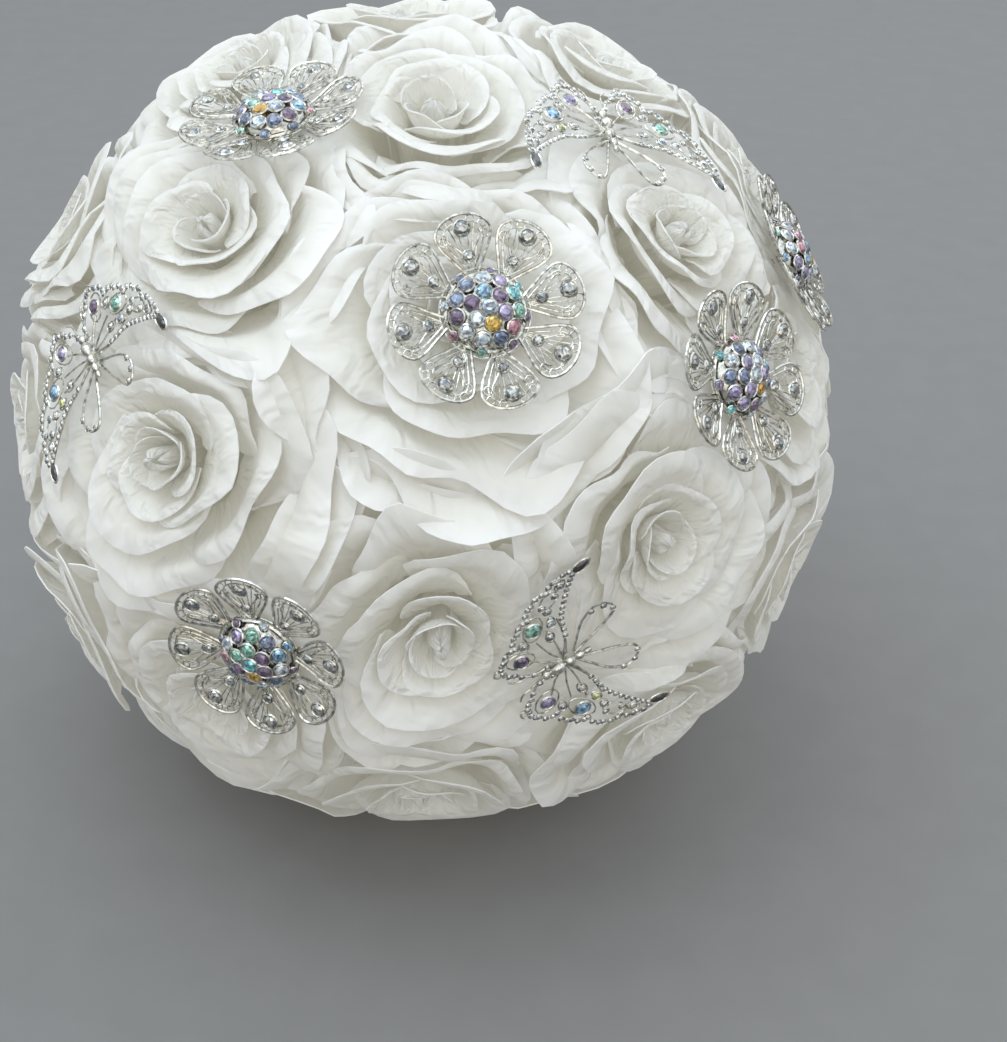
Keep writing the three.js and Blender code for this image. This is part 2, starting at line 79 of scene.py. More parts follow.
MM = 0.001
FULL_TURN = 2 * math.pi
HEAD_HEIGHT = 125.0  # of the ball's middle above the table
HEAD_MIDDLE = np.array((-1.0211, -33.5203, HEAD_HEIGHT))  # the ball's middle in the row frame
AXIS_RISE = math.radians(30.0)
AXIS = np.array((0.0, -math.cos(AXIS_RISE), math.sin(AXIS_RISE)))  # the way the bouquet faces
RIGHT = np.array((1.0, 0.0, 0.0))
UP = np.array((0.0, math.sin(AXIS_RISE), math.cos(AXIS_RISE)))
VIEW_LEAN = 0.4  # how far "up" leans to the viewer where a rose or brooch stands
WHITE = (1.0, 1.0, 1.0)

BALL_RADIUS = 134.0
ROSE_FOOT = 82.0  # distance out at which a rose begins
MOST_SPREAD = 0.5  # of a rose, as a share of the distance out
PRESS_CLEARANCE = 1.2  # between a brooch and the petals that it presses down
BINDING_DISTANCE = 100.0
BUNDLE_RADIUS = 13.5
HANDLE_END = (HEAD_HEIGHT - BUNDLE_RADIUS * math.cos(AXIS_RISE)) / math.sin(AXIS_RISE)


# Places on the ball


@dataclass(frozen=True)
class Heading:
    """A direction from the ball's middle.

    tilt is measured from the bouquet's axis and turn round it, in degrees: 0 is to the viewer's
    right and 90 is upwards.
    """

    tilt: float
    turn: float

    def vector(self) -> Array:
        """Works out the direction.

        Returns:
            Its unit vector.
        """
        tilt, turn = math.radians(self.tilt), math.radians(self.turn)
        sideways = RIGHT * math.cos(turn) + UP * math.sin(turn)
        return AXIS * math.cos(tilt) + sideways * math.sin(tilt)


@dataclass(frozen=True)
class OutwardFrame:
    """Three axes: outward, to the viewer's right and up to the viewer."""

    outward: Array
    east: Array
    north: Array

    @classmethod
    def of(cls, heading: Heading) -> "OutwardFrame":
        """Makes the frame that faces a heading.

        Args:
            heading: the direction of its outward axis.

        Returns:
            The frame.
        """
        outward = heading.vector()
        east = np.cross(UP + VIEW_LEAN * AXIS, outward)
        east /= np.linalg.norm(east)
        return cls(outward, east, np.cross(outward, east))

    def around(self, angle: Array) -> Array:
        """Unit vectors square to outward, at angles from east towards north."""
        return np.cos(angle)[..., None] * self.east + np.sin(angle)[..., None] * self.north


BOUQUET = OutwardFrame(AXIS, RIGHT, UP)


@dataclass(frozen=True)
class Seat:
    """Where a brooch sits: its heading, spin in its own plane, distance out and facing."""

    name: str
    heading: Heading
    spin: float
    distance: float
    reach: float
    facing: Heading | None = None

    @property
    def centre(self) -> Array:
        """The middle of the brooch, from the ball's middle."""
        return self.heading.vector() * self.distance

    @property
    def axes(self) -> OutwardFrame:
        """The axes that the brooch stands in."""
        return OutwardFrame.of(self.facing or self.heading)

    def basis(self) -> Array:
        """Works out the brooch's own axes, its spin included.

        Returns:
            Its x, y and z as rows.
        """
        axes, spin = self.axes, math.radians(self.spin)
        across = axes.east * math.cos(spin) + axes.north * math.sin(spin)
        upwards = axes.north * math.cos(spin) - axes.east * math.sin(spin)
        return np.array((across, upwards, axes.outward))

    def put(self, points: Array) -> Array:
        """Moves points from the brooch's own millimetres to the ball's."""
        return np.asarray(points, float) @ self.basis() + self.centre


FLOWER_REACH = 27.0
BUTTERFLY_REACH = 30.0
FLOWER_SEATS = (
    Seat("flower_brooch_centre", Heading(13, 57), 12, 137, FLOWER_REACH),
    Seat("flower_brooch_low_left", Heading(38, -124), 5, 133, FLOWER_REACH),
    Seat("flower_brooch_right", Heading(43, 6), 20, 133, FLOWER_REACH),
    Seat("flower_brooch_top_left", Heading(45, 117), 0, 133, FLOWER_REACH, Heading(52, 103)),
    Seat("flower_brooch_far_right", Heading(68, 23), 10, 133, FLOWER_REACH),
)
BUTTERFLY_SEATS = (
    Seat("butterfly_brooch_top_right", Heading(46, 56), -22, 133, BUTTERFLY_REACH),
    Seat("butterfly_brooch_left", Heading(46, 171), 60, 133, BUTTERFLY_REACH),
    Seat("butterfly_brooch_low", Heading(38, -60), 120, 132, BUTTERFLY_REACH),
)


def to_row(points: Array) -> Array:
    """Turns millimetres from the ball's middle into metres in the row frame."""
    return (points + HEAD_MIDDLE) * MM


def eased(distance: Array, limit: Array, free: float, reach: float) -> Array:
    """Keeps a short distance and levels a long one off towards a limit.

    Args:
        distance: the distances.
        limit: the limit for each of them.
        free: the share of the limit up to which a distance is kept.
        reach: the share of the limit that the longest distances reach.

    Returns:
        The eased distances.
    """
    room = reach - free
    share = distance / limit
    far = limit * (free + room * (1.0 - np.exp(np.minimum((free - share) / room, 0.0))))
    return np.where(share <= free, distance, far)


def curve_through(points: Array, steps: int, closed: bool = False) -> Array:
    """Draws a smooth line through points.

    Args:
        points: the points that it passes.
        steps: how many pieces each span is cut into.
        closed: whether the line returns to its first point.

    Returns:
        The points of the line.
    """
    points = np.asarray(points, float)
    count = len(points)
    made = []
    for span in range(count if closed else count - 1):
        near = range(span - 1, span + 3)
        a, b, c, d = (points[k % count if closed else min(max(k, 0), count - 1)] for k in near)
        bend, twist = 2 * a - 5 * b + 4 * c - d, 3 * b - a - 3 * c + d
        for t in np.arange(steps) / steps:
            made.append(0.5 * (2 * b + (c - a) * t + bend * t**2 + twist * t**3))
    if not closed:
        made.append(points[-1])
    return np.array(made)


def ellipse(steps: int, across: float, along: float, height: float = 0.0) -> Array:
    """Draws an ellipse round the origin.

    Args:
        steps: how many points it has.
        across: its radius in x.
        along: its radius in y.
        height: its z.

    Returns:
        Its points.
    """
    turn = np.linspace(0.0, FULL_TURN, steps, endpoint=False)
    return np.stack([np.cos(turn) * across, np.sin(turn) * along, np.full(steps, height)], -1)


# Work in Blender


def deselect() -> None:
    """Leaves edit mode and deselects everything."""
    if bpy.context.object is not None and bpy.context.object.mode != "OBJECT":
        bpy.ops.object.mode_set(mode="OBJECT")
    bpy.ops.object.select_all(action="DESELECT")


def pick(item: Item) -> None:
    """Makes one object the only selected and the active one.

    Args:
        item: the object.
    """
    deselect()
    item.select_set(True)
    bpy.context.view_layer.objects.active = item


def edit(item: Item) -> None:
    """Enters edit mode with the whole of a mesh selected.

    Args:
        item: the mesh object.
    """
    pick(item)
    bpy.ops.object.mode_set(mode="EDIT")
    bpy.ops.mesh.select_all(action="SELECT")


def active() -> Item:
    """The active object."""
    return bpy.context.view_layer.objects.active


def linked(name: str, data: bpy.types.ID) -> Item:
    """Adds an object to the scene.

    Args:
        name: its name.
        data: its mesh, curve, camera or light.

    Returns:
        The object.
    """
    item = bpy.data.objects.new(name, data)
    bpy.context.scene.collection.objects.link(item)
    return item


def apply_modifier(item: Item, kind: str, **settings: object) -> None:
    """Adds a modifier to an object and applies it.

    Args:
        item: the object.
        kind: the modifier's type.
        settings: values of the modifier's properties.
    """
    pick(item)
    modifier = item.modifiers.new(kind.lower(), kind)
    for name, value in settings.items():
        setattr(modifier, name, value)
    bpy.ops.object.modifier_apply(modifier=modifier.name)


def thicken(item: Item, thickness: float) -> None:
    """Gives a sheet a thickness in millimetres, half of it to either side."""
    apply_modifier(item, "SOLIDIFY", thickness=thickness * MM, offset=0.0)


def set_points(item: Item, points: Array) -> None:
    """Gives a mesh new vertex places, in metres in the row frame."""
    item.data.vertices.foreach_set("co", np.ascontiguousarray(points, np.float32).ravel())
    item.data.update()


def get_points(item: Item) -> Array:
    """Reads the vertex places of a mesh.

    Args:
        item: the mesh object.

    Returns:
        The places, in metres.
    """
    flat = np.zeros(len(item.data.vertices) * 3, np.float32)
    item.data.vertices.foreach_get("co", flat)
    return flat.reshape(-1, 3).astype(float)


def lift_to_table(item: Item) -> None:
    """Lifts what lies below the table's top up to it.

    Args:
        item: the mesh object.
    """
    points = get_points(item)
    points[:, 2] = np.maximum(points[:, 2], 0.0)
    set_points(item, points)


def lay_sheets(count: int, across: int, along: int) -> tuple[Item, Array, Array]:
    """Lays flat sheets in a row, to be shaped vertex by vertex.

    Args:
        count: how many sheets.
        across: how many faces each has across.
        along: how many faces each has along.

    Returns:
        Their mesh object, and the places of one sheet's vertices: across it, from -1 to 1, and
        along it, from 0 to 1.
    """
    deselect()
    bpy.ops.mesh.primitive_grid_add(x_subdivisions=across, y_subdivisions=along, size=2.0)
    item = active()
    flat = get_points(item)
    if count > 1:
        apply_modifier(
            item, "ARRAY", count=count, use_relative_offset=False,
            use_constant_offset=True, constant_offset_displace=(3.0, 0.0, 0.0),
        )
    return item, flat[:, 0], (flat[:, 1] + 1.0) / 2.0


def join(name: str, items: list[Item]) -> Item:
    """Joins mesh objects into one.

    Args:
        name: the joined object's name.
        items: the objects, the first of which takes the others in.

    Returns:
        The joined object.
    """
    pick(items[0])
    for item in items[1:]:
        item.select_set(True)
    bpy.ops.object.join()
    items[0].name = name
    return items[0]


def shade_smooth(item: Item, angle: float) -> None:
    """Shades an object smoothly, with edges sharper than an angle in degrees kept crisp."""
    pick(item)
    bpy.ops.object.shade_smooth_by_angle(angle=math.radians(angle))


def finish_piece(
    item: Item, finish: bpy.types.Material, replaces: tuple[str, ...] = ()
) -> None:
    """Dresses a piece, binds it to the frame and reports it.

    Args:
        item: the piece.
        finish: its material.
        replaces: the CAD nodes that it stands for.
    """
    item.data.materials.clear()
    item.data.materials.append(finish)
    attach(item, "root")
    if replaces:
        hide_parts(*replaces)
    LOG.info("%s: %d faces", item.name, len(item.data.polygons))


@dataclass(frozen=True)
class Wire:
    """A round wire along a line of points, in a brooch's own millimetres or from the ball."""

    points: Array
    radius: float
    closed: bool = False
    taper: tuple[float, float] = (1.0, 1.0)


def wire_mesh(name: str, wires: list[Wire], seat: Seat | None = None, resolution: int = 1) -> Item:
    """Draws wires as round curves and turns them into one mesh.

    Args:
        name: the new object's name.
        wires: the wires.
        seat: the seat that the wires' own millimetres are measured from, or None for the ball.
        resolution: how round the wires are.

    Returns:
        The mesh object, in the row frame.
    """
    curve = bpy.data.curves.new(name, "CURVE")
    curve.dimensions = "3D"
    curve.bevel_depth = MM
    curve.bevel_resolution = resolution
    curve.use_fill_caps = True
    for wire in wires:
        line = wire.points if seat is None else seat.put(wire.points)
        count = len(line)
        spline = curve.splines.new("POLY")
        spline.points.add(count - 1)
        places = np.ones((count, 4))
        places[:, :3] = to_row(line)
        spline.points.foreach_set("co", places.ravel())
        spline.points.foreach_set("radius", wire.radius * np.linspace(*wire.taper, count))
        spline.use_cyclic_u = wire.closed
    pick(linked(name, curve))
    bpy.ops.object.convert(target="MESH")
    return active()


# Finishes


class Nodes:
    """The nodes of a material or of the world, and short ways to add to them."""

    def __init__(self, owner: bpy.types.ID, shader: str = "Principled BSDF") -> None:
        """Turns the owner's nodes on.

        Args:
            owner: the material or the world.
            shader: the name of its shader node.
        """
        owner.use_nodes = True
        self.owner = owner
        self.tree = owner.node_tree
        self.shader = self.tree.nodes[shader]
        self.place = self.add("ShaderNodeTexCoord").outputs

    def feed(self, socket: Socket, value: object) -> None:
        """Links an input to another node's output, or gives it a value.

        Args:
            socket: the input.
            value: an output, a number, a vector or a colour.
        """
        if isinstance(value, Socket):
            self.tree.links.new(value, socket)
        elif socket.type == "RGBA":
            socket.default_value = (*value, 1.0)
        else:
            socket.default_value = value

    def set(self, **inputs: object) -> None:
        """Feeds inputs of the shader, named with _ for each space."""
        for name, value in inputs.items():
            self.feed(self.shader.inputs[name.replace("_", " ")], value)

    def add(self, kind: str, **settings: object) -> bpy.types.Node:
        """Adds a node.

        Args:
            kind: the node's type.
            settings: values of its properties, or what its inputs are fed, with _ for a space.

        Returns:
            The node.
        """
        node = self.tree.nodes.new(kind)
        for name, value in settings.items():
            if hasattr(node, name):
                setattr(node, name, value)
            else:
                self.feed(node.inputs[name.replace("_", " ")], value)
        return node

    def noise(self, place: Socket, **settings: float) -> Socket:
        """Adds a noise texture and gives the socket of its value."""
        return self.add("ShaderNodeTexNoise", Vector=place, **settings).outputs["Fac"]

    def stretched(self, scale: Triple) -> Socket:
        """Adds the places on the piece's UV map, stretched, and gives their socket."""
        return self.add("ShaderNodeMapping", Vector=self.place["UV"], Scale=scale).outputs[0]

    def ramp(self, source: Socket, *stops: tuple[float, Triple]) -> Socket:
        """Adds a colour ramp.

        Args:
            source: the value that runs along it.
            stops: places from 0 to 1 and their colours.

        Returns:
            The colour's socket.
        """
        node = self.add("ShaderNodeValToRGB", Fac=source)
        elements = node.color_ramp.elements
        while len(elements) < len(stops):
            elements.new(0.5)
        for element, (place, colour) in zip(elements, stops):
            element.position = place
            element.color = (*colour, 1.0)
        return node.outputs["Color"]

    def maths(self, kind: str, *values: Socket | float) -> Socket:
        """Adds a sum.

        Args:
            kind: the operation.
            values: what goes into it.

        Returns:
            The result's socket.
        """
        node = self.add("ShaderNodeMath", operation=kind)
        for socket, value in zip(node.inputs, values):
            self.feed(socket, value)
        return node.outputs[0]

    def tinted(self, colour: Socket, tint: Socket) -> Socket:
        """Adds the product of two colours.

        Args:
            colour: the one.
            tint: the other.

        Returns:
            The product's socket.
        """
        node = self.add("ShaderNodeMix", data_type="RGBA", blend_type="MULTIPLY")
        for index, value in ((0, 1.0), (6, colour), (7, tint)):
            self.feed(node.inputs[index], value)
        return node.outputs[2]

    def bump(self, height: Socket, distance: float, strength: float) -> None:
        """Gives the shader a relief of a depth in metres."""
        node = self.add("ShaderNodeBump", Height=height, Distance=distance, Strength=strength)
        self.set(Normal=node.outputs[0])


class Finish(ABC):
    """A material's look."""

    @abstractmethod
    def dress(self, nodes: Nodes) -> None:
        """Sets the nodes of the new material."""

    def make(self, name: str) -> bpy.types.Material:
        """Makes the material.

        Args:
            name: its name.

        Returns:
            The material.
        """
        nodes = Nodes(bpy.data.materials.new(name))
        self.dress(nodes)
        return nodes.owner


@dataclass(frozen=True)
class PetalFabric(Finish):
    """White petal cloth: a fine weave, soft pressed creases and a colour that runs from root to
    lip.
    The darker, greener root is partly the cloth's cream-green tint and partly painted shade deep
    in the rose, and the lip, lighter than the middle, is a painted highlight on the turned edges.

    U runs across each petal and V from its root to its lip.
    """

    # root, middle and lip run from root to lip: the darker, greener root is partly the cloth's
    # tint and partly painted shade, and the lighter lip is a painted highlight
    root: Triple = (0.82, 0.81, 0.66)
    middle: Triple = (0.885, 0.882, 0.835)
    lip: Triple = (0.955, 0.967, 0.97)
    blotch: Triple = (0.955, 0.95, 0.93)
    through: Triple = (0.965, 0.948, 0.875)
    light_through: float = 0.35
    # painted glow: the emission strength that lifts the shaded creases, in place of light passing
    # through the cloth
    glow: float = 0.115
    threads: float = 240.0
    thread_depth: float = 0.004
    crease_depth: float = 1.6

    def dress(self, nodes: Nodes) -> None:
        """Sets the nodes of the new material.

        Args:
            nodes: the nodes.
        """
        parts = nodes.add("ShaderNodeSeparateXYZ", Vector=nodes.place["UV"]).outputs
        # darker towards the root, partly tint and partly painted shade deep in the rose; lighter
        # at the lip, a painted highlight
        depth = nodes.ramp(
            parts["Y"],
            (0.10, self.root), (0.50, self.middle), (0.74, self.middle), (0.97, self.lip),
        )
        blotches = nodes.noise(nodes.place["Object"], Scale=38.0, Detail=1.0)
        tones = nodes.ramp(blotches, (0.35, self.blotch), (0.65, WHITE))
        nodes.set(
            Base_Color=nodes.tinted(depth, tones),
            Roughness=0.55, Specular_IOR_Level=0.35, Sheen_Weight=0.25, Sheen_Roughness=0.45,
            # painted glow in the colour through, lifting the shade deep in the rose
            Emission_Color=self.through, Emission_Strength=self.glow,
        )
        turns = self.threads * FULL_TURN
        threads = [nodes.maths("SINE", nodes.maths("MULTIPLY", parts[k], turns)) for k in "XY"]
        weave = nodes.maths("MULTIPLY", nodes.maths("ADD", *threads), self.thread_depth)
        place = nodes.stretched((9.0, 1.8, 1.0))
        crease = nodes.noise(place, Scale=1.0, Detail=2.0, Roughness=0.55, Distortion=0.5)
        creases = nodes.maths("MULTIPLY", crease, self.crease_depth)
        nodes.bump(nodes.maths("ADD", weave, creases), 0.0036, 0.7)
        glow = nodes.add("ShaderNodeBsdfTranslucent", Color=self.through)
        blend = nodes.add("ShaderNodeMixShader", Fac=self.light_through)
        nodes.feed(blend.inputs[1], nodes.shader.outputs[0])
        nodes.feed(blend.inputs[2], glow.outputs[0])
        nodes.feed(nodes.tree.nodes["Material Output"].inputs["Surface"], blend.outputs[0])


@dataclass(frozen=True)
class StemPlastic(Finish):
    """Green moulded plastic with faint ribs and mottling."""

    dark: Triple = (0.045, 0.085, 0.03)
    light: Triple = (0.12, 0.19, 0.07)
    roughness: float = 0.5

    def dress(self, nodes: Nodes) -> None:
        """Sets the nodes of the new material.

        Args:
            nodes: the nodes.
        """
        mottle = nodes.noise(nodes.place["Object"], Scale=90.0, Detail=5.0)
        colour = nodes.ramp(mottle, (0.3, self.dark), (0.7, self.light))
        nodes.set(Base_Color=colour, Roughness=self.roughness)
        nodes.bump(nodes.noise(nodes.place["Object"], Scale=900.0, Detail=2.0), 0.0003, 0.4)


@dataclass(frozen=True)
class RibbonSatin(Finish):
    """Ivory satin with fine threads along the ribbon and a soft sheen.

    U runs along the ribbon and V across it.
    """

    shade: Triple = (0.80, 0.79, 0.75)
    light: Triple = (0.92, 0.915, 0.89)
    roughness: float = 0.32
    fold_depth: float = 2.0

    def dress(self, nodes: Nodes) -> None:
        """Sets the nodes of the new material.

        Args:
            nodes: the nodes.
        """
        threads = nodes.noise(nodes.stretched((30.0, 90.0, 1.0)), Scale=1.0, Detail=3.0)
        colour = nodes.ramp(threads, (0.35, self.shade), (0.65, self.light))
        nodes.set(Base_Color=colour, Roughness=self.roughness, Sheen_Weight=0.3)
        fold = nodes.noise(nodes.place["Object"], Scale=120.0, Detail=2.0)
        folds = nodes.maths("MULTIPLY", fold, self.fold_depth)
        nodes.bump(nodes.maths("ADD", threads, folds), 0.0005, 0.5)


@dataclass(frozen=True)
class PolishedSilver(Finish):
    """Bright silver plate with faint tarnish and polishing marks."""

    bright: Triple = (0.76, 0.75, 0.68)
    dull: Triple = (0.28, 0.27, 0.235)
    smoothest: float = 0.11
    rougher: float = 0.12

    def dress(self, nodes: Nodes) -> None:
        """Sets the nodes of the new material.

        Args:
            nodes: the nodes.
        """
        cloud = nodes.noise(nodes.place["Object"], Scale=640.0, Detail=3.0)
        nodes.set(
            Base_Color=nodes.ramp(cloud, (0.35, self.dull), (0.56, self.bright)),
            Metallic=1.0,
            Roughness=nodes.maths("MULTIPLY_ADD", cloud, self.rougher, self.smoothest),
        )
        nodes.bump(cloud, 0.0002, 0.35)


@dataclass(frozen=True)
class CutCrystal(Finish):
    """Foil-backed cut stones, coloured by the colour attribute called tint: each stone's tint,
    painted lighter or darker facet by facet in place of reflections. A noise adds painted sparkle,
    bright glints and dark bluish reflections.
    """

    metallic: float
    painted_dark_reflection: Triple = (0.30, 0.36, 0.46)

    def dress(self, nodes: Nodes) -> None:
        """Sets the nodes of the new material.

        Args:
            nodes: the nodes.
        """
        tint = nodes.add("ShaderNodeVertexColor", layer_name="tint")
        # painted sparkle: a noise that darkens and lightens the stones in patches, in place of
        # glints and dark reflections
        fire = nodes.noise(nodes.place["Object"], Scale=700.0, Detail=1.0)
        painted_sparkle = nodes.ramp(fire, (0.36, self.painted_dark_reflection), (0.58, WHITE))
        nodes.set(
            Base_Color=nodes.tinted(tint.outputs["Color"], painted_sparkle), Metallic=self.metallic,
            Roughness=0.06, Coat_Weight=1.0, Coat_Roughness=0.02, IOR=1.6,
        )


@dataclass(frozen=True)
class FloorPaper(Finish):
    """Plain pale grey paper."""

    dark: Triple = (0.150, 0.147, 0.143)
    light: Triple = (0.160, 0.157, 0.153)

    def dress(self, nodes: Nodes) -> None:
        """Sets the nodes of the new material.

        Args:
            nodes: the nodes.
        """
        grain = nodes.noise(nodes.place["Object"], Scale=60.0, Detail=4.0)
        colour = nodes.ramp(grain, (0.3, self.dark), (0.7, self.light))
        nodes.set(Base_Color=colour, Roughness=0.85)


# Roses


class Ring(Enum):
    """The part of the ball that a rose belongs to."""

    FACE = "face"
    EDGE = "edge"
    BACK = "back"


# tilt, turn and openness of each rose
ROSE_HEADINGS: dict[Ring, tuple[Triple, ...]] = {
    Ring.FACE: (
        (12, 63, 1.4), (43, 88, 0.6), (42, 33, 0.8), (37, -27, 1.0),
        (29, -88, 1.3), (35, -167, 1.2), (37, 137, 0.9),
    ),
    Ring.EDGE: (
        (72, 92, 0.7), (67, 62, 0.4), (72, 37, 0.5), (59, 5, 0.8),
        (72, -22, 0.6), (64, -53, 0.7), (67, -89, 0.9), (52, -125, 0.9),
        (79, -146, 0.6), (70, -178, 0.6), (71, 151, 0.5), (63, 119, 0.8),
    ),
    Ring.BACK: (
        (88, 10, 0.5), (100, -73, 0.6), (99, -108, 0.6), (100, -42, 0.5),
        (104, -10, 0.5), (104, 31, 0.6), (100, 62, 0.5), (103, 93, 0.7),
        (100, 124, 0.5), (102, 155, 0.6), (102, -173, 0.5), (104, -138, 0.6),
    ),
}
PLAIN_OPENNESS = 0.8


@dataclass(frozen=True)
class Whorl:
    """One ring of petals round a rose's heart.

    radius and height are where the lips begin; tuck is the radius at which a petal leaves the
    petals inside it, depth below its lip; foot is the height of its root; width is a petal's share
    of its part of the turn; lip is the length of the turned-out lip and curl the angle that it
    ends at; roll turns the sides out; tip is the point of the lip; lean makes one side overlap the
    next petal; ripple waves the lip; opens is how much the rose's openness moves it; root is the
    radius of its root.
    """

    count: int
    radius: float
    height: float
    tuck: float
    depth: float
    foot: float
    width: float
    lip: float
    curl: float
    roll: float
    tip: float
    lean: float
    ripple: float
    opens: float = 0.0
    root: float = 3.0


WHORLS = (
    Whorl(3, 3.2, 50.2, 2.4, 12, 30, 1.50, 4.4, -92, 0.0, 0.6, 0.26, 0.2, root=0.2),
    Whorl(3, 8.6, 53.0, 5.2, 8, 26, 1.50, 1.8, 45, 0.2, 1.2, 0.16, 0.3),
    Whorl(3, 14.4, 53.5, 7.6, 8, 22, 1.50, 4.2, 84, 0.5, 2.4, 0.14, 0.8),
    Whorl(3, 21.4, 52.5, 12.5, 8, 18, 1.50, 7.0, 104, 0.9, 4.0, 0.12, 1.5, 0.9),
    Whorl(4, 29.0, 50.0, 18.5, 9, 14, 1.45, 8.6, 118, 1.4, 5.5, 0.10, 2.4, 1.6),
    Whorl(4, 36.6, 46.8, 25.0, 9, 10, 1.45, 10.0, 124, 2.0, 7.0, 0.08, 3.2, 2.0),
    Whorl(5, 42.6, 42.0, 31.0, 9, 8, 1.40, 10.0, 116, 2.2, 7.0, 0.06, 3.6, 2.0),
    Whorl(5, 46.5, 36.5, 35.0, 9, 8, 1.35, 8.5, 100, 2.2, 5.0, 0.05, 3.0, 2.0),
)
HEART_WHORLS = 4
# faces across and along a petal of the heart and an open petal
GRIDS_OF = {
    Ring.FACE: ((19, 10), (26, 13)),
    Ring.EDGE: ((13, 9), (20, 11)),
    Ring.BACK: ((10, 7), (15, 9)),
}
NOMINAL_CELL = 48.0  # reach of a round rose
CORNER_SOFTNESS = 9.0
CORNER_REACH = 1.13
FACING_PRESS = 0.7  # a brooch presses the roses whose axes lie nearer to its own than this cosine
PRESS_SLOPE = 0.8  # how fast the pressed petals rise beside it
HEART_SHIFT = 3.5  # of a rose's heart to one side
PROUD = 2.0  # how much roses differ in height
HEART_CYCLE, HEIGHT_CYCLE = 2.4, 2.1  # radians from one rose to the next
DROOP = {Ring.FACE: 1.0, Ring.EDGE: 6.0, Ring.BACK: 6.5}  # of the outer petals


class Chance(NamedTuple):
    """One petal's share of chance in what differs from petal to petal, from -1 to 1."""

    turn: float
    width: float
    skew: float
    fold: float
    wider: float
    taller: float
    curl: float
    length: float
    phase: float
    waves: float
    pinch: float


@dataclass(frozen=True)
class PetalForm:
    """What the petals of all whorls share.

    Names in _chance say how far chance moves a value. body is the share of a petal below its lip,
    knee the share of that part that clings to the petals inside, and elbow where it bows, as
    shares of the way out and of the depth. waist is the width at the root, and widest how far up
    the full width starts. dip lowers the sides. A pinch at the fold, fold_width wide, uncurls and
    lengthens the lip. crescent is the lip's length at the sides.
    """

    thickness: float = 0.4
    clearance: float = 0.45
    twist: float = 0.35
    body: float = 0.66
    knee: float = 0.3
    elbow: tuple[float, float] = (0.68, 0.78)
    give: float = 0.8
    waist: float = 0.3
    widest: float = 0.6
    dip: float = 0.4
    dip_power: float = 2.2
    fold_width: float = 0.35
    uncurl: float = 0.45
    side_curl: float = 0.3
    crescent: float = 0.12
    tip_width: float = 0.2
    wrinkle: float = 0.42
    turn_chance: float = 0.20
    width_chance: float = 0.09
    skew_chance: float = 0.18
    fold_chance: float = 0.35
    radius_chance: float = 0.055
    height_chance: float = 2.0
    slant_chance: float = 1.2
    curl_chance: float = 0.28
    length_chance: float = 0.3
    lobes: tuple[float, float] = (0.07, 0.035)


PETAL = PetalForm()


